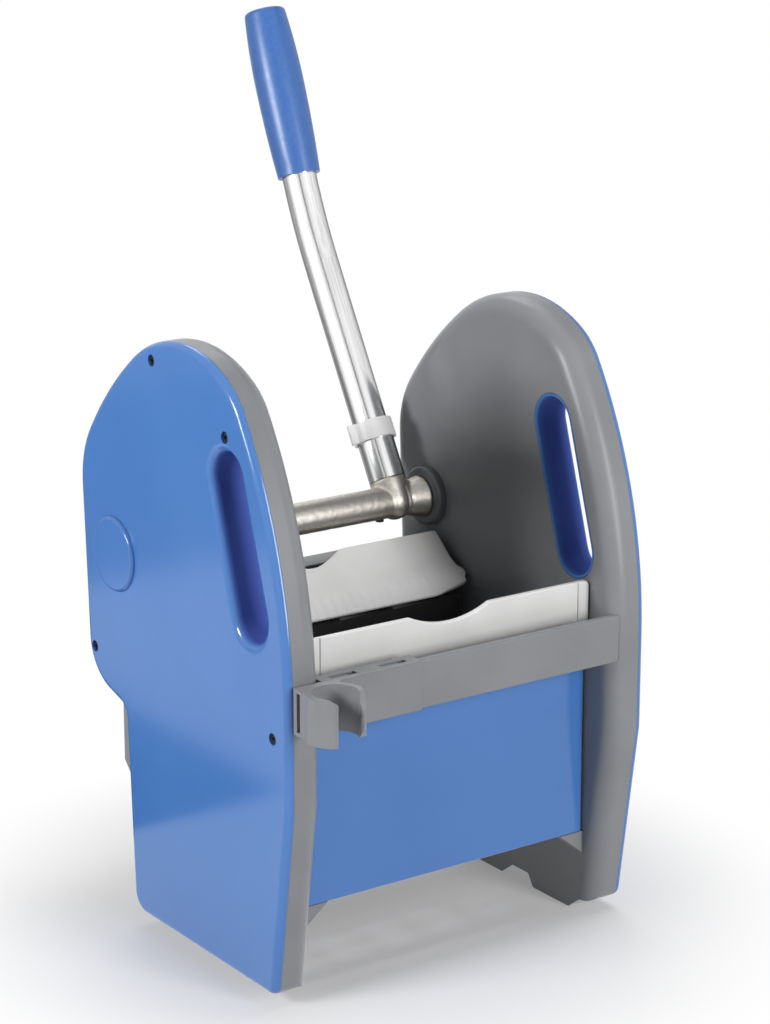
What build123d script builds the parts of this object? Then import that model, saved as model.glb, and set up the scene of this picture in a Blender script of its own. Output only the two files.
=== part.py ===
"""Lever mop wringer: two geared side housings, a fixed front jaw and a swinging rear jaw."""

import math
import os

from build123d import *

os.makedirs("parts", exist_ok=True)

# Driving dimensions in millimetres and degrees.
# In the side view u runs back from the middle of the base and v runs up from the floor.

# Clearances
seat_gap = 0.05
running_gap = 0.05
free_gap = 0.3

# Width of the wringer and thickness of its sides
overall_width = 288.0
cover_thickness = 5.0
panel_depth = 23.0
panel_floor = 5.0
panel_wall = 6.0

# Outline of a side
front_u = -105.6
brow_v = 206.0
brow_radius = 344.5
brow_sweep = 31.8
temple_radius = 53.6
temple_sweep = 27.1
crown_radius = 102.5
crown_sweep = 66.8
slope_radius = 267.0
slope_sweep = 18.0
shoulder_radius = 66.0
back_lean = 2.5
knee_v = 140.0
knee_radius = 60.0
toe_u = -87.0
sill_v = 9.0
heel_u = 89.5
step_v = 153.4
step_slope = 14.5
step_radius = 36.0
nook_radius = 10.0
heel_radius = 15.0
toe_radius = 8.0
rim_radius = 13.0
cover_edge = 4.6

# Feet below the panels and the lug behind them
foot_width = 12.0
foot_ramp = 12.0
front_foot_u = -64.0
front_foot_length = 40.0
rear_foot_u = 12.0
rear_foot_length = 62.0
lug_reach = 10.5
lug_height = 44.0
lug_taper = 11.0

# Hand slot
slot_inset = 39.3
slot_sweep = 18.2
slot_turn = 0.9
slot_length = 122.0
slot_width = 35.0
slot_mouth = 6.0
liner_wall = 2.5
liner_edge = 1.5

# Screws of the covers, placed from the edge of a side
top_screw_sweep = 52.4
top_screw_inset = 10.6
brow_screw_sweep = 30.7
brow_screw_inset = 23.1
front_screw_inset = 16.9
front_screw_drop = 19.8
back_screw_inset = 14.3
back_screw_rise = 20.0
cover_screw_post = 5.0
cover_screw_shank = 1.7
cover_screw_head = 3.4
cover_screw_head_height = 1.8
cover_screw_length = 15.0
cover_screw_recess = 4.0
cover_screw_recess_depth = 2.6

# Lever shaft, its bushes and the disc that marks it on the covers
shaft_u = 103.5
shaft_v = 260.7
shaft_radius = 9.0
shaft_square = 12.5
bush_flange_radius = 21.5
bush_flange_thickness = 7.0
bush_flange_edge = 2.5
bush_spigot_radius = 13.0
bush_spigot_length = 6.5
disc_radius = 26.0
disc_height = 3.0
disc_edge = 2.6

# Gears of one side, from the pinion on the shaft to the sector on the jaw axle
gear_module = 3.0
pressure_angle = 20.0
tooth_thinning = 0.2
pinion_teeth = 18
idler_teeth = 44
sector_teeth = 40
idler_bearing = 212.0
axle_bearing = 256.5
gear_face = 10.0
gear_lift = 3.5
lever_travel = 90.0
sector_spare_teeth = 2
sector_hub_radius = 18.0
idler_pin_radius = 6.0
idler_pin_head_radius = 9.0
idler_pin_head = 2.5
idler_skin = 1.5
idler_seat_radius = 13.0
idler_rim = 9.0
idler_web = 5.0
idler_hub_radius = 15.0
idler_hole_radius = 10.0
idler_holes = 6

# Jaw axle and its bushes
axle_radius = 8.0
axle_square = 11.0
axle_flange_radius = 15.0
axle_flange_thickness = 4.0
axle_spigot_radius = 11.0
end_screw_shank = 2.5
end_screw_depth = 14.0
end_screw_head_radius = 5.0
end_screw_head = 2.4
end_washer_radius = 13.0
end_washer = 1.6

# Crossbars and the screws that hold them
bar_bottom_v = 189.6
bar_height = 33.0
bar_setback = 1.4
bar_depth = 26.0
bar_wall = 4.5
bar_edge = 1.5
bar_rib_drop = 10.0
bar_end_block = 16.0
bar_web = 3.0
bar_web_pitch = 66.0
bar_ear = 7.0
rear_bar_front_u = 112.0
rear_bar_depth = 22.0
rear_bar_bottom_v = 192.0
rear_bar_height = 30.0
bar_screw_shank = 2.5
bar_screw_head_radius = 5.0
bar_screw_head = 3.0
bar_screw_length = 18.0
bar_screw_back = 15.0
bar_screw_rise = 11.0

# Front panel, front jaw and the ribs that hold them between the sides
front_panel_thickness = 3.5
front_panel_bottom_v = 61.0
front_panel_top_v = 203.0
front_panel_edge = 1.0
plate_side_gap = 1.6
front_jaw_side_gap = 0.8
front_jaw_thickness = 3.6
front_jaw_lead = 2.8
front_jaw_top_v = 242.6
front_jaw_bend_height = 9.0
front_jaw_bend_radius = 6.0
front_jaw_edge = 0.8
front_jaw_groove_inset = 11.0
front_jaw_groove_width = 4.0
front_jaw_groove_depth = 0.8
keeper_reach = 7.0
keeper_thickness = 6.0
keeper_top_v = 198.0
gusset_reach = 20.0
gusset_height = 16.0

# Dips in the top edges of the jaws and the flutes of their pressing faces
dip_half_width = 31.8
dip_depth = 7.7
dip_corner = 4.0
rear_dip_half_width = 28.5
rear_dip_depth = 11.3
rear_dip_slope = 24.0
flute_pitch = 7.8
flute_width = 3.4
flute_height = 0.6
flute_end_gap = 4.0
front_flute_length = 100.0
rear_flute_length = 17.0

# Rear jaw plate
rear_jaw_bottom_u = 47.6
rear_jaw_bottom_v = 204.0
rear_jaw_lean = 40.4
rear_jaw_length = 53.8
rear_jaw_thickness = 5.0
rear_jaw_side_gap = 5.0
rear_jaw_corner = 3.0
rear_jaw_bevel_width = 29.0
rear_jaw_bevel_height = 6.0
rear_jaw_lug_radius = 6.0
rear_jaw_lug_gap = 2.2
rear_jaw_lug_rise = 14.9

# Jaw carrier
carrier_side_gap = 10.0
carrier_thickness = 5.0
carrier_face_height = 21.0
barrel_radius = 14.0
carrier_rib = 5.0
carrier_rib_pitch = 45.0
carrier_ribs = 5
stop_height = 12.0
stop_drop = 14.0

# Rear panel and drain grid
rear_panel_thickness = 3.5
rear_panel_bottom_v = 61.5
rear_panel_bend = 10.0
rear_panel_inset = 7.0
grid_gap = 4.0
grid_thickness = 3.0
grid_slot_length = 30.0
grid_slot_width = 8.0
grid_pitch_x = 38.0
grid_pitch_y = 18.0
grid_border = 14.0

# Mop handle clip on the left end of the front crossbar
clip_inset = 21.8
clip_u = -127.0
clip_radius = 15.0
clip_wall = 4.2
clip_left_tip = 235.0
clip_right_tip = 318.0
clip_bottom_v = 193.5
clip_height = 30.5
clip_plate = 3.7
clip_plate_edge = 4.7
clip_plate_length = 49.0
clip_root_depth = 5.0
clip_left_round = 6.0
clip_right_round = 13.0
clip_foot_round = 8.0
clip_slot_width = 3.5
clip_slot_depth = 6.5
clip_slot_margin = 2.5
saddle_length = 75.0
saddle_top = 2.4
saddle_skirt = 2.0
saddle_depth = 13.0
saddle_window_length = 5.0
saddle_window_width = 4.5
saddle_window_inset = 25.5
saddle_window_pitch = 38.5
saddle_window_back = 7.4
saddle_recess_length = 17.0
saddle_recess_depth = 1.0

# Lever
lever_inset = 31.0
lever_lean = 29.9
lever_bend_at = 215.0
lever_bend = 8.7
lever_bend_radius = 430.0
tee_radius = 11.4
tee_hub_radius = 15.5
tee_hub_length = 16.0
tee_branch_radius = 13.4
tee_branch_height = 16.0
tee_screw_radius = 3.0
tee_screw_inset = 12.5
tee_screw_depth = 6.0
tee_screw_proud = 1.6
tube_radius = 12.5
tube_wall = 1.8
socket_radius = 13.2
socket_end = 50.0
core_start = 22.0
core_end = 120.0
collar_start = 45.5
collar_length = 14.0
collar_radius = 15.5
collar_nub_radius = 3.0
collar_nub_reach = 4.5
grip_rise = 34.5
grip_length = 123.0
grip_bore = 40.0
grip_mouth_radius = 15.6
grip_radius = 17.8
grip_end_radius = 14.8
grip_swell_height = 68.0
grip_round = 3.0

# Places worked out from the driving dimensions
half_width = overall_width / 2
cover_x = half_width - cover_thickness
inner_x = cover_x - panel_depth
floor_x = inner_x + panel_floor
gear_x = floor_x + gear_lift
idler_pin_x = inner_x + idler_skin
gear_end_x = gear_x + gear_face
grip_end = grip_rise + grip_length
lean = math.radians(lever_lean)
grip_lean = math.radians(lever_lean - lever_bend)
tip_angle = math.radians(clip_left_tip)
clip_front_u = clip_u + (clip_radius + clip_wall / 2) * math.sin(tip_angle) - clip_wall / 2
grip_back = lever_bend_at * math.sin(lean) + (grip_end - grip_round) * math.sin(grip_lean)
grip_back += grip_round + (grip_end_radius - grip_round) * math.cos(grip_lean)
base_y = -(clip_front_u + shaft_u + grip_back) / 2
pinion_radius = gear_module * pinion_teeth / 2
idler_radius = gear_module * idler_teeth / 2
sector_radius = gear_module * sector_teeth / 2
dedendum = 1.25 * gear_module


def along(start, length, angle):
    """Point at a distance and a bearing from another point of the side view."""
    turn = math.radians(angle)
    return (start[0] + length * math.cos(turn), start[1] + length * math.sin(turn))


shaft_place = (shaft_u, shaft_v)
idler_place = along(shaft_place, pinion_radius + idler_radius, idler_bearing)
axle_place = along(idler_place, idler_radius + sector_radius, axle_bearing)
jaw_travel = lever_travel * pinion_teeth / sector_teeth


def side_plane(x):
    """Plane across the width, with u and v as its own axes."""
    return Plane(origin=(x, base_y, 0), x_dir=(0, 1, 0), z_dir=(1, 0, 0))


def level_plane(v):
    """Level plane, with x and u as its own axes."""
    return Plane(origin=(0, base_y, v))


def front_plane(u):
    """Upright plane facing forward, with x and v as its own axes."""
    return Plane(origin=(0, base_y + u, 0), x_dir=(1, 0, 0), z_dir=(0, -1, 0))


def inside(edge, share, inset):
    """Point inside the edge of a side, at a share of one stretch and at an inset from it."""
    tangent = edge % share
    point = edge @ share
    return (point.X + inset * tangent.Y, point.Y - inset * tangent.X)


def write(part, name):
    """Label a finished piece and write it out."""
    part.label = name
    export_step(part, f"parts/{name}.step")


def write_pair(part, name):
    """Write a right-hand piece and its mirror image on the left."""
    write(part, f"right_{name}")
    with BuildPart() as left:
        mirror(part, about=Plane.YZ)
    write(left.part, f"left_{name}")


# Edge of a side, shared by the panel and the cover, first with sharp and then with rounded lower corners
nook_u = heel_u + (step_v - sill_v) * math.tan(math.radians(back_lean))
step_rise = math.tan(math.radians(step_slope))
with BuildSketch() as side_outline:
    with BuildLine():
        brow = JernArc((front_u, brow_v), (0, 1), brow_radius, -brow_sweep)
        temple = JernArc(brow @ 1, brow % 1, temple_radius, -temple_sweep)
        crown = JernArc(temple @ 1, temple % 1, crown_radius, -crown_sweep)
        slope = JernArc(crown @ 1, crown % 1, slope_radius, -slope_sweep)
        last_sweep = 180 + back_lean - brow_sweep - temple_sweep - crown_sweep - slope_sweep
        shoulder = JernArc(slope @ 1, slope % 1, shoulder_radius, -last_sweep)
        back = shoulder @ 1
        step_top_v = step_v + (back.X - nook_u) * step_rise
        step_top_u = back.X - (back.Y - step_top_v) * math.tan(math.radians(back_lean))
        FilletPolyline(
            back,
            (step_top_u, step_top_v),
            (nook_u, step_v),
            (heel_u, sill_v),
            (toe_u, sill_v),
            (front_u, knee_v),
            (front_u, brow_v),
            radius=(step_radius, nook_radius, 0, 0, knee_radius),
        )
    make_face()

with BuildSketch() as rounded_outline:
    add(side_outline.sketch)
    fillet(rounded_outline.vertices().group_by(Axis.Y)[0].sort_by(Axis.X)[0], toe_radius)
    fillet(rounded_outline.vertices().group_by(Axis.Y)[0].sort_by(Axis.X)[-1], heel_radius)

# Hand slot and cover screws, placed from that edge
slot_share = slot_sweep / brow_sweep
slot_place = inside(brow, slot_share, slot_inset)
slot_angle = (brow % slot_share).get_angle(Vector(1, 0)) + slot_turn
cover_screw_places = [
    inside(crown, top_screw_sweep / crown_sweep, top_screw_inset),
    inside(brow, brow_screw_sweep / brow_sweep, brow_screw_inset),
    (front_u + front_screw_inset, brow_v - front_screw_drop),
    (back.X - back_screw_inset, step_top_v + back_screw_rise),
]

# Side panel: a moulded tray with a large round on its inner edge, open towards its cover
with BuildPart() as panel_blank:
    with BuildSketch(side_plane(inner_x)):
        add(side_outline.sketch)
    extrude(amount=panel_depth)
    inner_face = panel_blank.faces().sort_by(Axis.X)[0]
    fillet(inner_face.edges().sort_by(Axis.Z)[1:], rim_radius)
    with BuildSketch(side_plane(inner_x)):
        add(rounded_outline.sketch)
    extrude(amount=panel_depth, mode=Mode.INTERSECT)

front_bar_u = front_u + bar_setback
front_panel_u = front_bar_u + bar_depth
front_jaw_u = front_panel_u + front_panel_thickness + free_gap
keeper_u = front_jaw_u + front_jaw_thickness
front_bar_screw = (front_bar_u + bar_screw_back, bar_bottom_v + bar_screw_rise)
rear_bar_screw = (rear_bar_front_u + rear_bar_depth / 2, rear_bar_bottom_v + rear_bar_height / 2)

with BuildPart() as right_side_panel:
    add(panel_blank.part)
    # Hollow for the gears
    with BuildSketch(side_plane(floor_x)):
        add(side_outline.sketch)
        offset(amount=-panel_wall)
    extrude(amount=panel_depth - panel_floor, mode=Mode.SUBTRACT)
    # Posts for the cover screws
    with BuildSketch(side_plane(floor_x)):
        with Locations(*cover_screw_places):
            Circle(cover_screw_post)
    extrude(amount=panel_depth - panel_floor)
    with BuildSketch(side_plane(cover_x)):
        with Locations(*cover_screw_places):
            Circle(cover_screw_shank + seat_gap)
    extrude(amount=-cover_screw_length, mode=Mode.SUBTRACT)
    # Feet
    with BuildSketch(side_plane(inner_x)):
        for foot_u, foot_length in ((front_foot_u, front_foot_length), (rear_foot_u, rear_foot_length)):
            with BuildLine():
                Polyline(
                    (foot_u - foot_ramp, sill_v),
                    (foot_u, 0),
                    (foot_u + foot_length, 0),
                    (foot_u + foot_length + foot_ramp / 2, sill_v),
                    close=True,
                )
            make_face()
    extrude(amount=foot_width)
    # Lug behind, which bears on the bucket's wall
    lug_top_v = step_v + lug_reach * step_rise
    lug_bottom_v = lug_top_v - lug_height
    with BuildSketch(side_plane(inner_x)):
        with BuildLine():
            Polyline(
                (nook_u - panel_wall, lug_top_v),
                (nook_u + lug_reach, lug_top_v),
                (nook_u + lug_reach, lug_bottom_v),
                (nook_u, lug_bottom_v - lug_taper),
                (nook_u - panel_wall, lug_bottom_v - lug_taper),
                close=True,
            )
        make_face()
    extrude(amount=panel_depth)
    # Keeper rib behind the front jaw, and the gusset that the jaw and the front panel stand on
    with BuildSketch(side_plane(inner_x)):
        with BuildLine():
            Polyline(
                (keeper_u, front_panel_bottom_v),
                (keeper_u + keeper_thickness, front_panel_bottom_v),
                (keeper_u + keeper_thickness, keeper_top_v),
                (keeper_u, keeper_top_v),
                close=True,
            )
        make_face()
    extrude(amount=-keeper_reach)
    with BuildSketch(front_plane(front_panel_u)):
        with BuildLine():
            Polyline(
                (inner_x, front_panel_bottom_v),
                (inner_x - gusset_reach, front_panel_bottom_v),
                (inner_x, front_panel_bottom_v - gusset_height),
                close=True,
            )
        make_face()
    extrude(amount=-(keeper_u + keeper_thickness - front_panel_u))
    # Seat of the idler gear
    with BuildSketch(side_plane(floor_x)):
        with Locations(idler_place):
            Circle(idler_seat_radius)
    extrude(amount=gear_lift - free_gap)
    # Holes for the slot's liner, the bushes and the crossbar screws
    with BuildSketch(side_plane(inner_x)):
        with Locations(slot_place):
            SlotOverall(
                slot_length + 2 * (liner_wall + free_gap),
                slot_width + 2 * (liner_wall + free_gap),
                rotation=slot_angle,
            )
        with Locations(shaft_place):
            Circle(bush_spigot_radius + seat_gap)
        with Locations(axle_place):
            Circle(axle_spigot_radius + seat_gap)
        with Locations(front_bar_screw, rear_bar_screw):
            Circle(bar_screw_shank + seat_gap)
    extrude(amount=panel_floor, mode=Mode.SUBTRACT)
    # Blind hole for the idler pin, closed towards the inner face
    with BuildSketch(side_plane(idler_pin_x)):
        with Locations(idler_place):
            Circle(idler_pin_radius + seat_gap)
    extrude(amount=gear_x - idler_pin_x, mode=Mode.SUBTRACT)
write_pair(right_side_panel.part, "side_panel")

# Cover: a lid with a rounded edge, a disc over the shaft, and a liner through the panel's hand slot
with BuildPart() as right_cover:
    with BuildSketch(side_plane(cover_x)):
        add(rounded_outline.sketch)
    extrude(amount=cover_thickness)
    fillet(right_cover.faces().sort_by(Axis.X)[-1].edges(), cover_edge)
    with BuildSketch(side_plane(half_width)):
        with Locations(shaft_place):
            Circle(disc_radius)
    extrude(amount=disc_height)
    fillet(right_cover.faces().sort_by(Axis.X)[-1].edges(), disc_edge)
    with BuildSketch(side_plane(inner_x)):
        with Locations(slot_place):
            SlotOverall(slot_length + 2 * liner_wall, slot_width + 2 * liner_wall, rotation=slot_angle)
    extrude(amount=panel_depth)
    with BuildSketch(side_plane(inner_x)):
        with Locations(slot_place):
            SlotOverall(slot_length, slot_width, rotation=slot_angle)
    extrude(amount=half_width - inner_x, mode=Mode.SUBTRACT)
    slot_centre = (half_width, base_y + slot_place[0], slot_place[1])
    outer_face = right_cover.faces().filter_by(Axis.X).sort_by(Axis.X)[-2]
    mouth = outer_face.inner_wires().sort_by_distance(slot_centre)[0]
    fillet(mouth.edges(), slot_mouth)
    liner_end = right_cover.faces().sort_by(Axis.X)[0]
    fillet(liner_end.inner_wires()[0].edges(), liner_edge)
    with BuildSketch(side_plane(half_width)):
        with Locations(*cover_screw_places):
            Circle(cover_screw_recess)
    extrude(amount=-cover_screw_recess_depth, mode=Mode.SUBTRACT)
    with BuildSketch(side_plane(half_width)):
        with Locations(*cover_screw_places):
            Circle(cover_screw_shank + seat_gap)
    extrude(amount=-cover_thickness, mode=Mode.SUBTRACT)
write_pair(right_cover.part, "cover")

# Cover screws: pan heads that sit in the recesses
screw_seat_x = half_width - cover_screw_recess_depth
with BuildPart() as right_cover_screws:
    with BuildSketch(side_plane(screw_seat_x)):
        with Locations(*cover_screw_places):
            Circle(cover_screw_head)
    extrude(amount=cover_screw_head_height)
    with BuildSketch(side_plane(screw_seat_x)):
        with Locations(*cover_screw_places):
            Circle(cover_screw_shank)
    extrude(amount=-(cover_screw_length + cover_thickness - cover_screw_recess_depth - free_gap))
write_pair(right_cover_screws.part, "cover_screws")

# Front crossbar: a front plate on a ledge with low ribs, whose ends run out over the rounds of the panels
bar_top_v = bar_bottom_v + bar_height
saddle_left_x = -inner_x
with BuildPart() as front_crossbar:
    with BuildSketch(side_plane(0)):
        with Locations((front_bar_u, bar_bottom_v)):
            Rectangle(bar_wall, bar_height, align=(Align.MIN, Align.MIN))
            Rectangle(bar_depth, bar_wall, align=(Align.MIN, Align.MIN))
    extrude(amount=inner_x + bar_ear, both=True)
    fillet(front_crossbar.faces().sort_by(Axis.Y)[0].edges().filter_by(Axis.X), bar_edge)
    web_count = 2 * math.floor((inner_x - bar_end_block) / bar_web_pitch) + 1
    rib_depth = bar_depth - bar_wall / 2 - front_jaw_lead - free_gap
    with BuildSketch(level_plane(bar_bottom_v)):
        with Locations((0, front_bar_u + bar_wall / 2)):
            with GridLocations(bar_web_pitch, 1, web_count, 1):
                Rectangle(bar_web, rib_depth, align=(Align.CENTER, Align.MIN))
            with GridLocations(2 * inner_x, 1, 2, 1):
                Rectangle(2 * bar_end_block, rib_depth, align=(Align.CENTER, Align.MIN))
    extrude(amount=bar_height - bar_rib_drop)
    # Rebate for the saddle of the mop handle clip
    with BuildSketch(level_plane(bar_top_v)):
        with Locations((saddle_left_x - bar_ear, front_bar_u)):
            Rectangle(saddle_length + bar_ear, bar_wall, align=(Align.MIN, Align.MIN))
    extrude(amount=-saddle_top, mode=Mode.SUBTRACT)
    add(panel_blank.part, mode=Mode.SUBTRACT)
    mirror(panel_blank.part, about=Plane.YZ, mode=Mode.SUBTRACT)
    for end in (-1, 1):
        with BuildSketch(side_plane(end * inner_x)):
            with Locations(front_bar_screw):
                Circle(bar_screw_shank + seat_gap)
        extrude(amount=-end * bar_end_block, mode=Mode.SUBTRACT)
write(front_crossbar.part, "front_crossbar")

# Rear crossbar: a channel open downwards, which the jaw carrier leans on when the jaw is open
with BuildPart() as rear_crossbar:
    with BuildSketch(side_plane(0)):
        with Locations((rear_bar_front_u, rear_bar_bottom_v)):
            Rectangle(rear_bar_depth, rear_bar_height, align=(Align.MIN, Align.MIN))
    extrude(amount=inner_x, both=True)
    fillet(rear_crossbar.faces().sort_by(Axis.Z)[-1].edges().filter_by(Axis.X), bar_edge)
    with BuildSketch(side_plane(0)):
        with Locations((rear_bar_front_u + bar_wall, rear_bar_bottom_v)):
            Rectangle(
                rear_bar_depth - 2 * bar_wall, rear_bar_height - bar_wall, align=(Align.MIN, Align.MIN)
            )
    extrude(amount=inner_x - bar_end_block, both=True, mode=Mode.SUBTRACT)
    for end in (-1, 1):
        with BuildSketch(side_plane(end * inner_x)):
            with Locations(rear_bar_screw):
                Circle(bar_screw_shank + seat_gap)
        extrude(amount=-end * bar_end_block, mode=Mode.SUBTRACT)
write(rear_crossbar.part, "rear_crossbar")

# Crossbar screws: driven from inside the housings into the bars' solid ends
with BuildPart() as right_bar_screws:
    with BuildSketch(side_plane(floor_x)):
        with Locations(front_bar_screw, rear_bar_screw):
            Circle(bar_screw_head_radius)
    extrude(amount=bar_screw_head)
    with BuildSketch(side_plane(floor_x)):
        with Locations(front_bar_screw, rear_bar_screw):
            Circle(bar_screw_shank)
    extrude(amount=-bar_screw_length)
write_pair(right_bar_screws.part, "bar_screws")

# Front panel: a flat skin behind the crossbar
plate_half_width = inner_x - plate_side_gap
with BuildPart() as front_panel:
    with BuildSketch(front_plane(front_panel_u)):
        with Locations((0, front_panel_bottom_v)):
            Rectangle(
                2 * plate_half_width,
                front_panel_top_v - front_panel_bottom_v,
                align=(Align.CENTER, Align.MIN),
            )
    extrude(amount=-front_panel_thickness)
    fillet(front_panel.faces().sort_by(Axis.Y)[0].edges(), front_panel_edge)
write(front_panel.part, "front_panel")

# Front jaw: a fixed plate behind the front panel that steps forward above it, with a dip in its top edge
jaw_half_width = inner_x - front_jaw_side_gap
jaw_middle_u = front_jaw_u + front_jaw_thickness / 2
jaw_head_u = front_panel_u - front_jaw_lead
jaw_head_middle_u = jaw_head_u + front_jaw_thickness / 2
jaw_bend_v = front_panel_top_v + front_jaw_thickness
jaw_head_v = jaw_bend_v + front_jaw_bend_height
with BuildPart() as front_jaw:
    with BuildSketch(side_plane(0)):
        with BuildLine():
            FilletPolyline(
                (jaw_middle_u, front_panel_bottom_v),
                (jaw_middle_u, jaw_bend_v),
                (jaw_head_middle_u, jaw_head_v),
                (jaw_head_middle_u, front_jaw_top_v),
                radius=front_jaw_bend_radius,
            )
        trace(line_width=front_jaw_thickness)
    extrude(amount=jaw_half_width, both=True)
    with BuildSketch(front_plane(jaw_head_u)) as jaw_face:
        with BuildLine():
            dip = ThreePointArc(
                (-dip_half_width, front_jaw_top_v),
                (0, front_jaw_top_v - dip_depth),
                (dip_half_width, front_jaw_top_v),
            )
            Polyline(
                dip @ 1,
                (jaw_half_width, front_jaw_top_v),
                (jaw_half_width, front_panel_bottom_v),
                (-jaw_half_width, front_panel_bottom_v),
                (-jaw_half_width, front_jaw_top_v),
                dip @ 0,
            )
        make_face()
        top_corners = jaw_face.vertices().group_by(Axis.Y)[-1].sort_by(Axis.X)
        fillet(top_corners, dip_corner)
    extrude(amount=-(keeper_u - jaw_head_u), mode=Mode.INTERSECT)
    top_edges = front_jaw.faces().sort_by(Axis.Y)[0].edges()
    lowest_dip_v = front_jaw_top_v - dip_depth - front_jaw_edge
    fillet(top_edges.filter_by_position(Axis.Z, lowest_dip_v, front_jaw_top_v), front_jaw_edge)
    with BuildSketch(front_plane(jaw_head_u)):
        with Locations((0, front_jaw_top_v)):
            with GridLocations(2 * (jaw_half_width - front_jaw_groove_inset), 1, 2, 1):
                Rectangle(front_jaw_groove_width, 2 * (front_jaw_top_v - jaw_head_v))
    extrude(amount=-front_jaw_groove_depth, mode=Mode.SUBTRACT)
    front_flutes = math.floor(2 * (jaw_half_width - keeper_reach - flute_end_gap) / flute_pitch)
    flute_top_v = front_panel_top_v - flute_end_gap
    with BuildSketch(front_plane(keeper_u)):
        with Locations((0, flute_top_v - front_flute_length / 2)):
            with GridLocations(flute_pitch, 1, front_flutes, 1):
                SlotOverall(front_flute_length, flute_width, rotation=90)
    extrude(amount=-flute_height)
write(front_jaw.part, "front_jaw")

# Rear jaw: a leaning plate with flutes along its lower edge, bevelled lower corners and guide lugs
jaw_lean = math.radians(rear_jaw_lean)
jaw_plane = Plane(
    origin=(0, base_y + rear_jaw_bottom_u, rear_jaw_bottom_v),
    x_dir=(1, 0, 0),
    z_dir=(0, -math.sin(jaw_lean), math.cos(jaw_lean)),
)
rear_jaw_half_width = inner_x - rear_jaw_side_gap
rear_jaw_lug_x = inner_x - rear_jaw_lug_gap - rear_jaw_lug_radius
with BuildPart() as rear_jaw:
    with BuildSketch(jaw_plane) as jaw_face:
        with BuildLine():
            dip_fall = math.tan(math.radians(rear_dip_slope))
            dip = Spline(
                (-rear_dip_half_width, rear_jaw_length),
                (0, rear_jaw_length - rear_dip_depth),
                (rear_dip_half_width, rear_jaw_length),
                tangents=[(1, -dip_fall), (1, 0), (1, dip_fall)],
            )
            bevel_x = rear_jaw_half_width - rear_jaw_bevel_width
            Polyline(
                dip @ 1,
                (rear_jaw_half_width, rear_jaw_length),
                (rear_jaw_half_width, rear_jaw_bevel_height),
                (bevel_x, 0),
                (-bevel_x, 0),
                (-rear_jaw_half_width, rear_jaw_bevel_height),
                (-rear_jaw_half_width, rear_jaw_length),
                dip @ 0,
            )
        make_face()
        top_corners = jaw_face.vertices().group_by(Axis.Y)[-1].sort_by(Axis.X)
        fillet([top_corners[0], top_corners[-1]], rear_jaw_corner)
        with GridLocations(2 * rear_jaw_lug_x, 1, 2, 1):
            with Locations((0, rear_jaw_lug_rise)):
                Circle(rear_jaw_lug_radius)
    extrude(amount=-rear_jaw_thickness)
    rear_flutes = math.floor(2 * bevel_x / flute_pitch)
    with BuildSketch(jaw_plane):
        with Locations((0, rear_flute_length / 2 - flute_height)):
            with GridLocations(flute_pitch, 1, rear_flutes, 1):
                SlotOverall(rear_flute_length, flute_width, rotation=90)
    extrude(amount=flute_height)
write(rear_jaw.part, "rear_jaw")

# Jaw carrier: a bent plate on a barrel round the axle, with ribs under the jaw that also meet the stop
under_jaw = along((rear_jaw_bottom_u, rear_jaw_bottom_v), rear_jaw_thickness, rear_jaw_lean - 90)
rib_top = along(under_jaw, rear_jaw_length - rear_dip_depth, rear_jaw_lean)
stop_u = rear_bar_front_u - free_gap
stop_v = rear_bar_bottom_v + rear_bar_height - stop_drop
carrier_top_u = under_jaw[0] + carrier_thickness / 2
carrier_bend_v = under_jaw[1] - carrier_face_height
carrier_half_width = inner_x - carrier_side_gap
barrel_half_length = inner_x - axle_flange_thickness - free_gap
with BuildPart() as jaw_carrier:
    with BuildSketch(side_plane(0)):
        with BuildLine():
            Polyline(
                (carrier_top_u, under_jaw[1]),
                (carrier_top_u, carrier_bend_v),
                along(axle_place, barrel_radius - carrier_thickness, 45),
            )
        trace(line_width=carrier_thickness)
    extrude(amount=carrier_half_width, both=True)
    with BuildSketch(side_plane(-carrier_rib / 2)):
        with BuildLine():
            Polyline(
                under_jaw,
                rib_top,
                (stop_u, stop_v + stop_height),
                (stop_u, stop_v),
                (carrier_top_u, carrier_bend_v),
                (carrier_top_u, under_jaw[1] - carrier_thickness),
                close=True,
            )
        make_face()
    rib = extrude(amount=carrier_rib, mode=Mode.PRIVATE)
    with GridLocations(carrier_rib_pitch, 1, carrier_ribs, 1):
        add(rib)
    with BuildSketch(jaw_plane.offset(-rear_jaw_thickness)):
        with Locations((0, rear_jaw_length / 2)):
            Rectangle(4 * half_width, 2 * rear_jaw_length)
    extrude(amount=2 * rear_jaw_thickness, mode=Mode.SUBTRACT)
    with BuildSketch(side_plane(0)):
        with Locations(axle_place):
            Circle(barrel_radius)
    extrude(amount=barrel_half_length, both=True)
    with BuildSketch(side_plane(0)):
        with Locations(axle_place):
            Circle(axle_radius + seat_gap)
    extrude(amount=barrel_half_length, both=True, mode=Mode.SUBTRACT)
write(jaw_carrier.part, "jaw_carrier")

# Jaw axle: round through the bushes, square where the sectors sit
with BuildPart() as jaw_axle:
    with BuildSketch(side_plane(0)):
        with Locations(axle_place):
            Circle(axle_radius)
    extrude(amount=gear_x, both=True)
    with BuildSketch(side_plane(0)):
        with Locations(axle_place):
            Rectangle(axle_square, axle_square)
    extrude(amount=gear_end_x, both=True)
    for end in (-1, 1):
        with BuildSketch(side_plane(end * gear_end_x)):
            with Locations(axle_place):
                Circle(end_screw_shank + seat_gap)
        extrude(amount=-end * end_screw_depth, mode=Mode.SUBTRACT)
write(jaw_axle.part, "jaw_axle")

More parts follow.
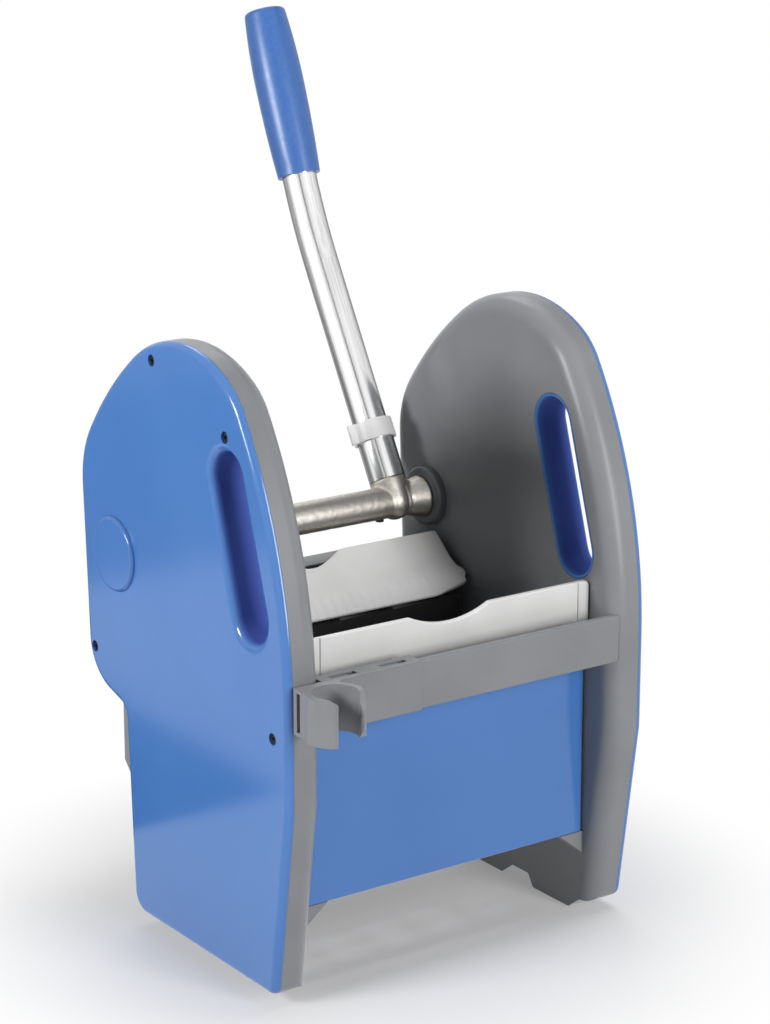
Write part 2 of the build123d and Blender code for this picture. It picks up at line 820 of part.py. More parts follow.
# Axle bush: flanged on the inner face of the side panel
with BuildPart() as right_axle_bush:
    with BuildSketch(side_plane(inner_x)):
        with Locations(axle_place):
            Circle(axle_flange_radius)
    extrude(amount=-axle_flange_thickness)
    with BuildSketch(side_plane(inner_x)):
        with Locations(axle_place):
            Circle(axle_spigot_radius)
    extrude(amount=bush_spigot_length)
    with BuildSketch(side_plane(inner_x - axle_flange_thickness)):
        with Locations(axle_place):
            Circle(axle_radius + running_gap)
    extrude(amount=axle_flange_thickness + bush_spigot_length, mode=Mode.SUBTRACT)
write_pair(right_axle_bush.part, "axle_bush")

# Shaft bush: a thick flange with a rounded edge, seated on the inner face
with BuildPart() as right_shaft_bush:
    with BuildSketch(side_plane(inner_x)):
        with Locations(shaft_place):
            Circle(bush_flange_radius)
    extrude(amount=-bush_flange_thickness)
    fillet(right_shaft_bush.faces().sort_by(Axis.X)[0].edges(), bush_flange_edge)
    with BuildSketch(side_plane(inner_x)):
        with Locations(shaft_place):
            Circle(bush_spigot_radius)
    extrude(amount=bush_spigot_length)
    with BuildSketch(side_plane(inner_x - bush_flange_thickness)):
        with Locations(shaft_place):
            Circle(shaft_radius + running_gap)
    extrude(amount=bush_flange_thickness + bush_spigot_length, mode=Mode.SUBTRACT)
write_pair(right_shaft_bush.part, "shaft_bush")


def polar(radius, angle):
    """Point at a radius and an angle in radians about a gear's centre."""
    return (radius * math.cos(angle), radius * math.sin(angle))


def tooth(teeth):
    """One involute tooth about the origin, centred on the first axis and rooted inside the rim."""
    pitch_radius = gear_module * teeth / 2
    pressure = math.radians(pressure_angle)
    base_radius = pitch_radius * math.cos(pressure)
    tip_radius = pitch_radius + gear_module
    root_radius = pitch_radius - dedendum
    half_at_pitch = (math.pi * gear_module / 2 - tooth_thinning) / (2 * pitch_radius)

    def half_angle(radius):
        roll = math.acos(min(1.0, base_radius / radius))
        return half_at_pitch + math.tan(pressure) - pressure - math.tan(roll) + roll

    start_radius = max(base_radius, root_radius)
    middle_radius = (start_radius + tip_radius) / 2
    with BuildSketch() as outline:
        with BuildLine():
            flank = Spline(
                polar(start_radius, half_angle(start_radius)),
                polar((start_radius + middle_radius) / 2, half_angle((start_radius + middle_radius) / 2)),
                polar(middle_radius, half_angle(middle_radius)),
                polar(tip_radius, half_angle(tip_radius)),
            )
            Line(flank @ 0, polar(root_radius - dedendum, half_angle(start_radius)))
            Line((0, 0), polar(root_radius - dedendum, half_angle(start_radius)))
            Line(flank @ 1, (flank @ 1).X * Vector(1, 0))
            mirror(about=Plane.XZ)
        make_face()
    return outline.sketch


# Angles at which the teeth stand at rest, so that each tooth meets a gap
pinion_phase = idler_bearing
idler_phase = idler_bearing + 180 + 180 / idler_teeth
idler_offset = (idler_phase - axle_bearing) % (360 / idler_teeth)
sector_phase = axle_bearing + 180 - idler_offset * idler_teeth / sector_teeth + 180 / sector_teeth
sector_pitch = 360 / sector_teeth
sector_before = math.ceil(jaw_travel / sector_pitch) + sector_spare_teeth
sector_count = sector_before + sector_spare_teeth + 1
sector_start = sector_phase - sector_before * sector_pitch

# Pinion: on the square end of the lever shaft
with BuildPart() as right_pinion:
    pinion_tooth = tooth(pinion_teeth)
    with BuildSketch(side_plane(gear_x)):
        with Locations(shaft_place):
            Circle(pinion_radius - dedendum)
            with PolarLocations(0, pinion_teeth, start_angle=pinion_phase):
                add(pinion_tooth)
            Rectangle(shaft_square + 2 * seat_gap, shaft_square + 2 * seat_gap, mode=Mode.SUBTRACT)
    extrude(amount=gear_face)
write_pair(right_pinion.part, "pinion")

# Idler gear: a toothed rim and a hub on a thin web with round openings
with BuildPart() as right_idler_gear:
    idler_tooth = tooth(idler_teeth)
    with BuildSketch(side_plane(gear_x)):
        with Locations(idler_place):
            Circle(idler_radius - dedendum)
            with PolarLocations(0, idler_teeth, start_angle=idler_phase):
                add(idler_tooth)
    extrude(amount=gear_face)
    rim_inside = idler_radius - dedendum - idler_rim
    for recess_x, into in ((gear_x, 1), (gear_end_x, -1)):
        with BuildSketch(side_plane(recess_x)):
            with Locations(idler_place):
                Circle(rim_inside)
                Circle(idler_hub_radius, mode=Mode.SUBTRACT)
        extrude(amount=into * (gear_face - idler_web) / 2, mode=Mode.SUBTRACT)
    with BuildSketch(side_plane(gear_x)):
        with Locations(idler_place):
            Circle(idler_pin_radius + running_gap)
            with PolarLocations((rim_inside + idler_hub_radius) / 2, idler_holes):
                Circle(idler_hole_radius)
    extrude(amount=gear_face, mode=Mode.SUBTRACT)
write_pair(right_idler_gear.part, "idler_gear")

# Idler pin: pressed into the side panel, with a head that keeps the idler on
with BuildPart() as right_idler_pin:
    with BuildSketch(side_plane(idler_pin_x)):
        with Locations(idler_place):
            Circle(idler_pin_radius)
    extrude(amount=gear_end_x + free_gap - idler_pin_x)
    with BuildSketch(side_plane(gear_end_x + free_gap)):
        with Locations(idler_place):
            Circle(idler_pin_head_radius)
    extrude(amount=idler_pin_head)
write_pair(right_idler_pin.part, "idler_pin")

# Sector gear: on the square end of the jaw axle, toothed only as far as the jaw swings
with BuildPart() as right_sector_gear:
    sector_tooth = tooth(sector_teeth)
    sector_root = sector_radius - dedendum
    first_edge = sector_start - sector_pitch / 2
    with BuildSketch(side_plane(gear_x)):
        with BuildLine():
            rim_arc = CenterArc(axle_place, sector_root, first_edge, sector_count * sector_pitch)
            Polyline(rim_arc @ 0, axle_place, rim_arc @ 1)
        make_face()
        with Locations(axle_place):
            Circle(sector_hub_radius)
            with PolarLocations(
                0, sector_count, start_angle=sector_start, angular_range=sector_count * sector_pitch
            ):
                add(sector_tooth)
            Rectangle(axle_square + 2 * seat_gap, axle_square + 2 * seat_gap, mode=Mode.SUBTRACT)
    extrude(amount=gear_face)
write_pair(right_sector_gear.part, "sector_gear")


def end_screw(place):
    """Washer, head and shank of a screw in the right-hand end of a shaft."""
    with BuildPart() as screw:
        with BuildSketch(side_plane(gear_end_x)):
            with Locations(place):
                Circle(end_washer_radius)
        extrude(amount=end_washer)
        with BuildSketch(side_plane(gear_end_x + end_washer)):
            with Locations(place):
                Circle(end_screw_head_radius)
        extrude(amount=end_screw_head)
        with BuildSketch(side_plane(gear_end_x)):
            with Locations(place):
                Circle(end_screw_shank)
        extrude(amount=-(end_screw_depth - free_gap))
    return screw.part


# End screws: keep the pinions on the shaft and the sectors on the axle
write_pair(end_screw(shaft_place), "shaft_end_screw")
write_pair(end_screw(axle_place), "axle_end_screw")

# Rear panel: a bent skin inside the back edges of the sides, up to the rear crossbar
rear_skin_u = heel_u - rear_panel_inset
rear_skin_top_u = rear_bar_front_u + rear_bar_depth / 2
rear_bend_v = step_v + rear_panel_inset
with BuildPart() as rear_panel:
    with BuildSketch(side_plane(0)):
        with BuildLine():
            FilletPolyline(
                (rear_skin_u, rear_panel_bottom_v),
                (rear_skin_u, rear_bend_v),
                (rear_skin_top_u, rear_bend_v + (rear_skin_top_u - rear_skin_u) * step_rise),
                (rear_skin_top_u, rear_bar_bottom_v),
                radius=rear_panel_bend,
            )
        trace(line_width=rear_panel_thickness)
    extrude(amount=inner_x, both=True)
write(rear_panel.part, "rear_panel")

# Drain grid: a slotted floor between the sides, just below the jaw's barrel
grid_top_v = axle_place[1] - barrel_radius - grid_gap
grid_front_u = keeper_u + keeper_thickness
grid_back_u = rear_skin_u - rear_panel_thickness / 2
grid_depth = grid_back_u - grid_front_u
with BuildPart() as drain_grid:
    with BuildSketch(level_plane(grid_top_v)):
        with Locations((0, grid_front_u)):
            Rectangle(2 * inner_x, grid_depth, align=(Align.CENTER, Align.MIN))
        slots_x = math.floor((2 * inner_x - 2 * grid_border) / grid_pitch_x)
        slots_y = math.floor((grid_depth - 2 * grid_border) / grid_pitch_y) + 1
        with Locations((0, grid_front_u + grid_depth / 2)):
            with GridLocations(grid_pitch_x, grid_pitch_y, slots_x, slots_y):
                SlotOverall(grid_slot_length, grid_slot_width, mode=Mode.SUBTRACT)
    extrude(amount=-grid_thickness)
write(drain_grid.part, "drain_grid")

# Mop handle clip: a springy ring open to the front on a plate, and a saddle over the crossbar
clip_x = -(half_width - clip_inset)
clip_place = (clip_x, clip_u)
plate_left_x = -(half_width - clip_plate_edge)
plate_back_u = front_u - free_gap
ring_outside = clip_radius + clip_wall
with BuildPart() as mop_handle_clip:
    with BuildSketch(level_plane(clip_bottom_v)):
        with Locations((plate_left_x, plate_back_u)):
            Rectangle(clip_plate_length, clip_plate, align=(Align.MIN, Align.MAX))
        with BuildLine():
            Polyline(
                (plate_left_x, plate_back_u),
                (plate_left_x, plate_back_u - clip_plate - clip_root_depth),
                (clip_x - ring_outside, clip_u),
                (clip_x, clip_u),
                (clip_x + ring_outside, plate_back_u),
                close=True,
            )
        make_face()
        with Locations(clip_place):
            Circle(ring_outside)
    extrude(amount=clip_height)
    with BuildSketch(level_plane(clip_bottom_v)):
        with Locations(clip_place):
            Circle(clip_radius)
        with BuildLine():
            Polyline(
                clip_place,
                along(clip_place, 2 * ring_outside, clip_left_tip),
                along(clip_place, 2 * ring_outside, (clip_left_tip + clip_right_tip) / 2),
                along(clip_place, 2 * ring_outside, clip_right_tip),
                close=True,
            )
        make_face()
    extrude(amount=clip_height, mode=Mode.SUBTRACT)
    with BuildSketch(level_plane(clip_bottom_v)):
        tip_ring = clip_radius + clip_wall / 2
        with Locations(
            along(clip_place, tip_ring, clip_left_tip), along(clip_place, tip_ring, clip_right_tip)
        ):
            Circle(clip_wall / 2)
    extrude(amount=clip_height)
    # Rounded top corners of the two tips
    clip_top_v = clip_bottom_v + clip_height
    left_tip_x = along(clip_place, tip_ring, clip_left_tip)[0] + clip_wall / 2
    with BuildSketch(front_plane(clip_u)):
        with Locations((left_tip_x, clip_top_v)):
            Rectangle(clip_left_round, clip_left_round, align=(Align.MAX, Align.MAX))
        with Locations((left_tip_x - clip_left_round, clip_top_v - clip_left_round)):
            Circle(clip_left_round, mode=Mode.SUBTRACT)
    extrude(amount=ring_outside, mode=Mode.SUBTRACT)
    right_tip_u = along(clip_place, tip_ring, clip_right_tip)[1] - clip_wall / 2
    with BuildSketch(side_plane(clip_x)):
        with Locations((right_tip_u, clip_top_v)):
            Rectangle(clip_right_round, clip_right_round, align=(Align.MIN, Align.MAX))
        with Locations((right_tip_u + clip_right_round, clip_top_v - clip_right_round)):
            Circle(clip_right_round, mode=Mode.SUBTRACT)
    extrude(amount=ring_outside, mode=Mode.SUBTRACT)
    with BuildSketch(side_plane(clip_x)):
        with Locations((right_tip_u, clip_bottom_v)):
            Rectangle(clip_foot_round, clip_foot_round, align=(Align.MIN, Align.MIN))
        with Locations((right_tip_u + clip_foot_round, clip_bottom_v + clip_foot_round)):
            Circle(clip_foot_round, mode=Mode.SUBTRACT)
    extrude(amount=ring_outside, mode=Mode.SUBTRACT)
    # Upright slot in the left side, between the plate and the ring
    with BuildSketch(side_plane(plate_left_x)):
        with Locations((plate_back_u - clip_plate, clip_bottom_v + clip_height / 2)):
            Rectangle(clip_slot_width, clip_height - 2 * clip_slot_margin, align=(Align.MAX, Align.CENTER))
    extrude(amount=clip_slot_depth, mode=Mode.SUBTRACT)
    # Saddle in the bar's rebate, with two windows and a shallow recess beside each
    saddle_seat_v = bar_top_v - saddle_top
    with BuildSketch(side_plane(saddle_left_x)):
        with BuildLine():
            Polyline(
                (front_bar_u, bar_bottom_v),
                (front_bar_u, saddle_seat_v),
                (front_bar_u + saddle_depth, saddle_seat_v),
                (front_bar_u + saddle_depth, bar_top_v),
                (front_bar_u - saddle_skirt, bar_top_v),
                (front_bar_u - saddle_skirt, bar_bottom_v),
                close=True,
            )
        make_face()
    extrude(amount=saddle_length)
    window_x = saddle_left_x + saddle_window_inset + saddle_window_pitch / 2
    with BuildSketch(level_plane(bar_top_v)):
        with Locations((window_x, front_bar_u - saddle_skirt + saddle_window_back)):
            with GridLocations(saddle_window_pitch, 1, 2, 1):
                Rectangle(saddle_window_length, saddle_window_width)
    extrude(amount=-saddle_top, mode=Mode.SUBTRACT)
    with BuildSketch(level_plane(bar_top_v)):
        with Locations((window_x, front_bar_u - saddle_skirt + saddle_window_back)):
            with GridLocations(saddle_window_pitch, 1, 2, 1):
                Rectangle(saddle_recess_length, saddle_window_width, align=(Align.MAX, Align.CENTER))
    extrude(amount=-saddle_recess_depth, mode=Mode.SUBTRACT)
write(mop_handle_clip.part, "mop_handle_clip")

# Lever shaft: round through its bushes, square where the pinions sit
lever_x = inner_x - lever_inset
tee_screw_x = lever_x - tee_screw_inset
with BuildPart() as lever_shaft:
    with BuildSketch(side_plane(0)):
        with Locations(shaft_place):
            Circle(shaft_radius)
    extrude(amount=gear_x, both=True)
    with BuildSketch(side_plane(0)):
        with Locations(shaft_place):
            Rectangle(shaft_square, shaft_square)
    extrude(amount=gear_end_x, both=True)
    for end in (-1, 1):
        with BuildSketch(side_plane(end * gear_end_x)):
            with Locations(shaft_place):
                Circle(end_screw_shank + seat_gap)
        extrude(amount=-end * end_screw_depth, mode=Mode.SUBTRACT)
    with BuildSketch(level_plane(shaft_v - shaft_radius)):
        with Locations((tee_screw_x, shaft_u)):
            Circle(tee_screw_radius + seat_gap)
    extrude(amount=tee_screw_depth - (tee_radius - shaft_radius), mode=Mode.SUBTRACT)
write(lever_shaft.part, "lever_shaft")

# The lever's own frames: its lower axis leans back from the shaft, the grip stands steeper
lever_foot = Vector(lever_x, base_y + shaft_u, shaft_v)
lever_direction = Vector(0, math.sin(lean), math.cos(lean))
lever_plane = Plane(origin=lever_foot, x_dir=(1, 0, 0), z_dir=lever_direction)
bend_place = along(shaft_place, lever_bend_at, 90 - lever_lean)
grip_place = along(bend_place, grip_rise, 90 - lever_lean + lever_bend)
grip_foot = Vector(lever_x, base_y + grip_place[0], grip_place[1])
grip_direction = Vector(0, math.sin(grip_lean), math.cos(grip_lean))
grip_plane = Plane(origin=grip_foot, x_dir=(1, 0, 0), z_dir=grip_direction)
grip_section = Plane(
    origin=grip_foot, x_dir=(1, 0, 0), z_dir=(0, -math.cos(grip_lean), math.sin(grip_lean))
)

# Lever tee: a cast sleeve over the shaft, with a branch for the lever and a hub that widens to the bush
tee_right_x = inner_x - bush_flange_thickness - free_gap
hub_flare = math.degrees(math.atan((tee_hub_radius - tee_radius) / tee_hub_length))
with BuildPart() as lever_tee:
    with BuildSketch(side_plane(-tee_right_x)):
        with Locations(shaft_place):
            Circle(tee_radius)
    extrude(amount=2 * tee_right_x)
    with BuildSketch(lever_plane):
        Circle(tee_branch_radius)
    extrude(amount=tee_branch_height)
    with Locations(lever_plane):
        Sphere(tee_branch_radius)
    with BuildSketch(side_plane(tee_right_x)):
        with Locations(shaft_place):
            Circle(tee_hub_radius)
    extrude(amount=-tee_hub_length, taper=hub_flare)
    with BuildSketch(side_plane(-tee_right_x)):
        with Locations(shaft_place):
            Circle(shaft_radius + seat_gap)
    extrude(amount=2 * tee_right_x, mode=Mode.SUBTRACT)
    with BuildSketch(level_plane(shaft_v)):
        with Locations((tee_screw_x, shaft_u)):
            Circle(tee_screw_radius + seat_gap)
    extrude(amount=-(tee_radius + tee_screw_proud), mode=Mode.SUBTRACT)
write(lever_tee.part, "lever_tee")

# Tee screw: a set screw through the underside of the tee into the shaft
with BuildPart() as tee_screw:
    with BuildSketch(level_plane(shaft_v - tee_radius - tee_screw_proud)):
        with Locations((tee_screw_x, shaft_u)):
            Circle(tee_screw_radius)
    extrude(amount=tee_screw_depth + tee_screw_proud - free_gap)
write(tee_screw.part, "tee_screw")

# Lever socket: the polished lower end of the lever, seated on the tee
with BuildPart() as lever_socket:
    with BuildSketch(lever_plane.offset(tee_branch_height)):
        Circle(socket_radius)
        Circle(tube_radius - tube_wall + seat_gap, mode=Mode.SUBTRACT)
    extrude(amount=socket_end - tee_branch_height)
write(lever_socket.part, "lever_socket")

# Lever core: a rod that joins the socket and the tube
with BuildPart() as lever_core:
    with BuildSketch(lever_plane.offset(core_start)):
        Circle(tube_radius - tube_wall)
    extrude(amount=core_end - core_start)
write(lever_core.part, "lever_core")

# Lever collar: a plastic ring over the joint, with a nub on its left
with BuildPart() as lever_collar:
    with BuildSketch(lever_plane.offset(collar_start)):
        Circle(collar_radius)
        with Locations((-collar_radius, 0)):
            SlotOverall(2 * collar_nub_reach, 2 * collar_nub_radius)
    extrude(amount=collar_length)
    with BuildSketch(lever_plane.offset(collar_start)):
        Circle(socket_radius + seat_gap)
    extrude(amount=socket_end - collar_start, mode=Mode.SUBTRACT)
    with BuildSketch(lever_plane.offset(socket_end)):
        Circle(tube_radius + seat_gap)
    extrude(amount=collar_start + collar_length - socket_end, mode=Mode.SUBTRACT)
write(lever_collar.part, "lever_collar")

# Lever tube: drawn aluminium, bent once on its way from the socket's end up into the grip
with BuildPart() as lever_tube:
    with BuildLine(side_plane(lever_x)) as tube_path:
        FilletPolyline(
            along(shaft_place, socket_end, 90 - lever_lean),
            bend_place,
            along(grip_place, grip_bore, 90 - lever_lean + lever_bend),
            radius=lever_bend_radius,
        )
    with BuildSketch(lever_plane.offset(socket_end)):
        Circle(tube_radius)
        Circle(tube_radius - tube_wall + seat_gap, mode=Mode.SUBTRACT)
    sweep(path=tube_path.line)
write(lever_tube.part, "lever_tube")

# Lever grip: a moulded barrel with a flat end, bored for the tube
with BuildPart() as lever_grip:
    with BuildSketch(grip_section) as grip_profile:
        with BuildLine():
            Polyline((grip_mouth_radius, 0), (0, 0), (0, grip_length), (grip_end_radius, grip_length))
            Spline(
                (grip_mouth_radius, 0),
                (grip_radius, grip_swell_height),
                (grip_end_radius, grip_length),
                tangents=[
                    (grip_radius - grip_mouth_radius, grip_swell_height / 2),
                    (0, 1),
                    (grip_end_radius - grip_radius, (grip_length - grip_swell_height) / 2),
                ],
            )
        make_face()
        fillet(grip_profile.vertices().group_by(Axis.Y)[-1].sort_by(Axis.X)[-1], grip_round)
    revolve(axis=Axis(grip_foot, grip_direction))
    with BuildSketch(grip_plane):
        Circle(tube_radius + seat_gap)
    extrude(amount=grip_bore + free_gap, mode=Mode.SUBTRACT)
write(lever_grip.part, "lever_grip")
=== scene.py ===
import math

import bpy
from mathutils import Matrix, Vector


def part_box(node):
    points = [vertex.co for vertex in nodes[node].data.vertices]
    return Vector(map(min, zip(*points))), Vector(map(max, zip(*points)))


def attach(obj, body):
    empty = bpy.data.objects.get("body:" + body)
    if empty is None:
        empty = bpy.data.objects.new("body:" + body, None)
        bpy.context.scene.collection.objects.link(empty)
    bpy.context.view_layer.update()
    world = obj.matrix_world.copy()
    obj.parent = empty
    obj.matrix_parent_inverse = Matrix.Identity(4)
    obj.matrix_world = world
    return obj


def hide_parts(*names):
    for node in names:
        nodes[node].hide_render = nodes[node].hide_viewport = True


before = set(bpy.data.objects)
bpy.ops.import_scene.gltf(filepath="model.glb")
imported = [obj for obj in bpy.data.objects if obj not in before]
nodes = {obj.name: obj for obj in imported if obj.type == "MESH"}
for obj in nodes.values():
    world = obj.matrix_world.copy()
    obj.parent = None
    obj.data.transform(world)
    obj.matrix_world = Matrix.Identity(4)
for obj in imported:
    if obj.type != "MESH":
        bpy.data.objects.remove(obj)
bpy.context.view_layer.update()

# Camera: a long lens, in front of the left side and above the jaws, as the photograph was taken.
# Its place is counted from the front edge of the sides, which no other piece moves.
cover_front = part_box("right_cover")[0].y
camera_turn = -35.11
camera_tilt = 15.71
camera_lens = 101.26
camera_place = (-1.06125, cover_front - 1.41017, 0.81061)
bpy.ops.object.camera_add(
    location=camera_place,
    rotation=(math.radians(90 - camera_tilt), 0, math.radians(camera_turn)),
)
camera = bpy.context.object
camera.name = "camera"
camera.data.lens = camera_lens
camera.data.sensor_width = 36
camera.data.clip_start = 0.05
camera.data.clip_end = 40
bpy.context.scene.camera = camera
bpy.context.scene.view_settings.view_transform = "Standard"


# Floor: a sheet of pale matt paper that takes the wringer's shadow round its feet.
# Further out it is white, to the eye and in what gloss and metal mirror.
def linear(colour):
    """Linear colour with full alpha from an sRGB hex value."""
    shares = [int(colour[i : i + 2], 16) / 255 for i in (1, 3, 5)]
    return [s / 12.92 if s <= 0.04045 else ((s + 0.055) / 1.055) ** 2.4 for s in shares] + [1.0]


def add_node(tree, kind, settings=None, links=None):
    """Adds a node, sets its properties or its sockets' values, and links sockets to other nodes' outputs."""
    node = tree.nodes.new(kind)
    for name, value in (settings or {}).items():
        if isinstance(name, str) and name in node.bl_rna.properties:
            setattr(node, name, value)
        else:
            node.inputs[name].default_value = value
    for name, source in (links or {}).items():
        tree.links.new(source, node.inputs[name])
    return node


def start_material(name):
    """A new material with an empty node tree."""
    material = bpy.data.materials.new(name)
    material.use_nodes = True
    material.node_tree.nodes.clear()
    return material, material.node_tree


floor_size = 12.0
floor_middle_y = -0.045
floor_near = 0.12
floor_far = 0.335
floor_near_white = 0.24
bpy.ops.object.select_all(action="DESELECT")
bpy.ops.mesh.primitive_plane_add(size=floor_size)
floor = bpy.context.object
floor.name = "floor"
floor_paper, tree = start_material("matt_paper")
floor_place = add_node(tree, "ShaderNodeTexCoord")
floor_from_middle = add_node(
    tree,
    "ShaderNodeVectorMath",
    {"operation": "SUBTRACT", 1: (0, floor_middle_y, 0)},
    {0: floor_place.outputs["Object"]},
)
floor_distance = add_node(
    tree,
    "ShaderNodeVectorMath",
    {"operation": "LENGTH"},
    {0: floor_from_middle.outputs["Vector"]},
)
floor_fade = add_node(
    tree,
    "ShaderNodeMapRange",
    {
        "interpolation_type": "SMOOTHSTEP",
        "From Min": floor_near,
        "From Max": floor_far,
        "To Min": floor_near_white,
        "To Max": 1.0,
    },
    {"Value": floor_distance.outputs["Value"]},
)
floor_ray = add_node(tree, "ShaderNodeLightPath")
floor_seen = add_node(
    tree,
    "ShaderNodeMath",
    {"operation": "MULTIPLY"},
    {0: floor_fade.outputs["Result"], 1: floor_ray.outputs["Is Camera Ray"]},
)
floor_mirrored = add_node(
    tree,
    "ShaderNodeMath",
    {"operation": "MAXIMUM"},
    {0: floor_ray.outputs["Is Glossy Ray"], 1: floor_ray.outputs["Is Transmission Ray"]},
)
floor_share = add_node(
    tree,
    "ShaderNodeMath",
    {"operation": "MAXIMUM"},
    {0: floor_seen.outputs[0], 1: floor_mirrored.outputs[0]},
)
floor_matt = add_node(tree, "ShaderNodeBsdfDiffuse", {"Color": linear("#DCDCDE")})
floor_white = add_node(tree, "ShaderNodeEmission", {"Color": (1, 1, 1, 1), "Strength": 1.0})
floor_mix = add_node(
    tree,
    "ShaderNodeMixShader",
    {},
    {0: floor_share.outputs[0], 1: floor_matt.outputs[0], 2: floor_white.outputs[0]},
)
add_node(tree, "ShaderNodeOutputMaterial", {}, {"Surface": floor_mix.outputs[0]})
floor.data.materials.append(floor_paper)

# Room: white to the eye and in gloss, but it gives the wringer only a weak light from all sides,
# so that the space between the sides stays dark.
room_light_strength = 0.04
world = bpy.data.worlds.new("room")
bpy.context.scene.world = world
world.use_nodes = True
tree = world.node_tree
tree.nodes.clear()
room_ray = add_node(tree, "ShaderNodeLightPath")
room_seen = add_node(
    tree,
    "ShaderNodeMath",
    {"operation": "MAXIMUM"},
    {0: room_ray.outputs["Is Camera Ray"], 1: room_ray.outputs["Is Glossy Ray"]},
)
room_shown = add_node(
    tree,
    "ShaderNodeMath",
    {"operation": "MAXIMUM"},
    {0: room_seen.outputs[0], 1: room_ray.outputs["Is Transmission Ray"]},
)
room_light = add_node(tree, "ShaderNodeBackground", {"Color": (1, 1, 1, 1), "Strength": room_light_strength})
room_white = add_node(tree, "ShaderNodeBackground", {"Color": (1, 1, 1, 1), "Strength": 1.0})
room_mix = add_node(
    tree,
    "ShaderNodeMixShader",
    {},
    {0: room_shown.outputs[0], 1: room_light.outputs[0], 2: room_white.outputs[0]},
)
add_node(tree, "ShaderNodeOutputWorld", {}, {"Surface": room_mix.outputs[0]})

# Lamps: a softbox at the left, a tall one in front, a weak one above and one behind. The wringer's left side
# keeps the first off the mop space, the one above makes no glint, and the last throws the shadow forwards.
# Each has its place, width and height in metres and its power in watts.
lamps = {
    "left_softbox": ((-1.6, 0.0, 0.86), 0.6, 0.42, 22),
    "front_softbox": ((0.38, -1.8, 0.7), 0.5, 1.1, 21),
    "top_softbox": ((0.46, -0.3, 2.0), 0.6, 0.7, 13),
    "back_softbox": ((0.6, 1.1, 1.7), 1.0, 0.7, 9),
}
lamp_target = Vector((0, 0, 0.25))
for lamp_name, (lamp_place, lamp_width, lamp_height, lamp_power) in lamps.items():
    bpy.ops.object.light_add(type="AREA", location=lamp_place)
    lamp = bpy.context.object
    lamp.name = lamp_name
    lamp.data.shape = "RECTANGLE"
    lamp.data.size = lamp_width
    lamp.data.size_y = lamp_height
    lamp.data.energy = lamp_power
    lamp.visible_glossy = lamp_name != "top_softbox"
    lamp.rotation_euler = (lamp_target - Vector(lamp_place)).to_track_quat("-Z", "Y").to_euler()

# Cards: sheets that lie, stand or hang round the wringer, out of the picture. They are seen only in
# reflections: hidden from the camera, they cast no shadow and give no bounce light, and only put painted
# dark and pale patches into what gloss and bare metal mirror, standing in for the dark ends of a studio.
# Each has its middle, width and height in metres, its slope and turn in degrees, and its colour.
cards = {
    "far_card": ((-1.01, 1.66, 0.002), 1.78, 1.88, 0, 0, "#8E8F92"),
    "near_card": ((-0.08, 0.44, 0.002), 0.56, 0.56, 0, 0, "#1C1C1E"),
    "standing_card": ((-0.75, 1.4, 0.3), 1.7, 0.6, 90, 0, "#D0D0D2"),
    "right_card": ((1.15, 0.35, 0.5), 1.6, 1.0, 90, 90, "#F0F0F1"),
    "narrow_card": ((-0.63, -0.72, 1.1), 0.2, 0.9, 90, -41, "#1C1C1E"),
    "hanging_card": ((1.0, 0.5, 1.6), 1.2, 2.2, 0, 0, "#4A4B4D"),
}
for card_name, (card_middle, card_width, card_height, card_slope, card_turn, card_colour) in cards.items():
    bpy.ops.object.select_all(action="DESELECT")
    bpy.ops.mesh.primitive_plane_add(size=1)
    card = bpy.context.object
    card.name = card_name
    card.data.transform(
        Matrix.Translation(card_middle)
        @ Matrix.Rotation(math.radians(card_turn), 4, "Z")
        @ Matrix.Rotation(math.radians(card_slope), 4, "X")
        @ Matrix.Diagonal((card_width, card_height, 1, 1))
    )
    card.visible_camera = False
    card.visible_shadow = False
    card.visible_diffuse = False
    card_flock, tree = start_material(f"{card_name}_flock")
    flock = add_node(tree, "ShaderNodeBsdfDiffuse", {"Color": linear(card_colour)})
    add_node(tree, "ShaderNodeOutputMaterial", {}, {"Surface": flock.outputs[0]})
    card.data.materials.append(card_flock)


# Side panels: deep trays moulded in grey polypropylene, one at each side, with the feet and the rear lug.
# The mould is spark-eroded, which leaves a fine dull grain and soft edges.
def dress(material, *names):
    """Gives CAD nodes one material."""
    for name in names:
        nodes[name].data.materials.clear()
        nodes[name].data.materials.append(material)


def both(name):
    """Names of the right-hand and left-hand node of a pair."""
    return f"right_{name}", f"left_{name}"


# Grey polypropylene: the eye sees a satin grey with faint flow clouds about 60 mm wide.
# The real grain is about 0.1 mm wide and is drawn ten times as coarse to show at all.
panel_flow_mm = 60
panel_grain_mm = 1.0
panel_edge_mm = 0.9
grey_polypropylene, tree = start_material("grey_polypropylene_spark_eroded")
place = add_node(tree, "ShaderNodeTexCoord")
flow = add_node(
    tree,
    "ShaderNodeTexNoise",
    {"Scale": 1000 / panel_flow_mm, "Detail": 3.0},
    {"Vector": place.outputs["Object"]},
)
tint = add_node(tree, "ShaderNodeValToRGB", {}, {"Fac": flow.outputs["Fac"]})
tint.color_ramp.elements[0].position = 0.3
tint.color_ramp.elements[0].color = linear("#828487")
tint.color_ramp.elements[1].position = 0.7
tint.color_ramp.elements[1].color = linear("#8A8C8F")
dullness = add_node(
    tree,
    "ShaderNodeMapRange",
    {"From Min": 0.3, "From Max": 0.7, "To Min": 0.3, "To Max": 0.36},
    {"Value": flow.outputs["Fac"]},
)
grain = add_node(
    tree,
    "ShaderNodeTexNoise",
    {"Scale": 1000 / panel_grain_mm, "Detail": 2.0},
    {"Vector": place.outputs["Object"]},
)
edge = add_node(tree, "ShaderNodeBevel", {"samples": 4, "Radius": panel_edge_mm / 1000})
bump = add_node(
    tree,
    "ShaderNodeBump",
    {"Strength": 0.1, "Distance": 0.0002},
    {"Height": grain.outputs["Fac"], "Normal": edge.outputs["Normal"]},
)
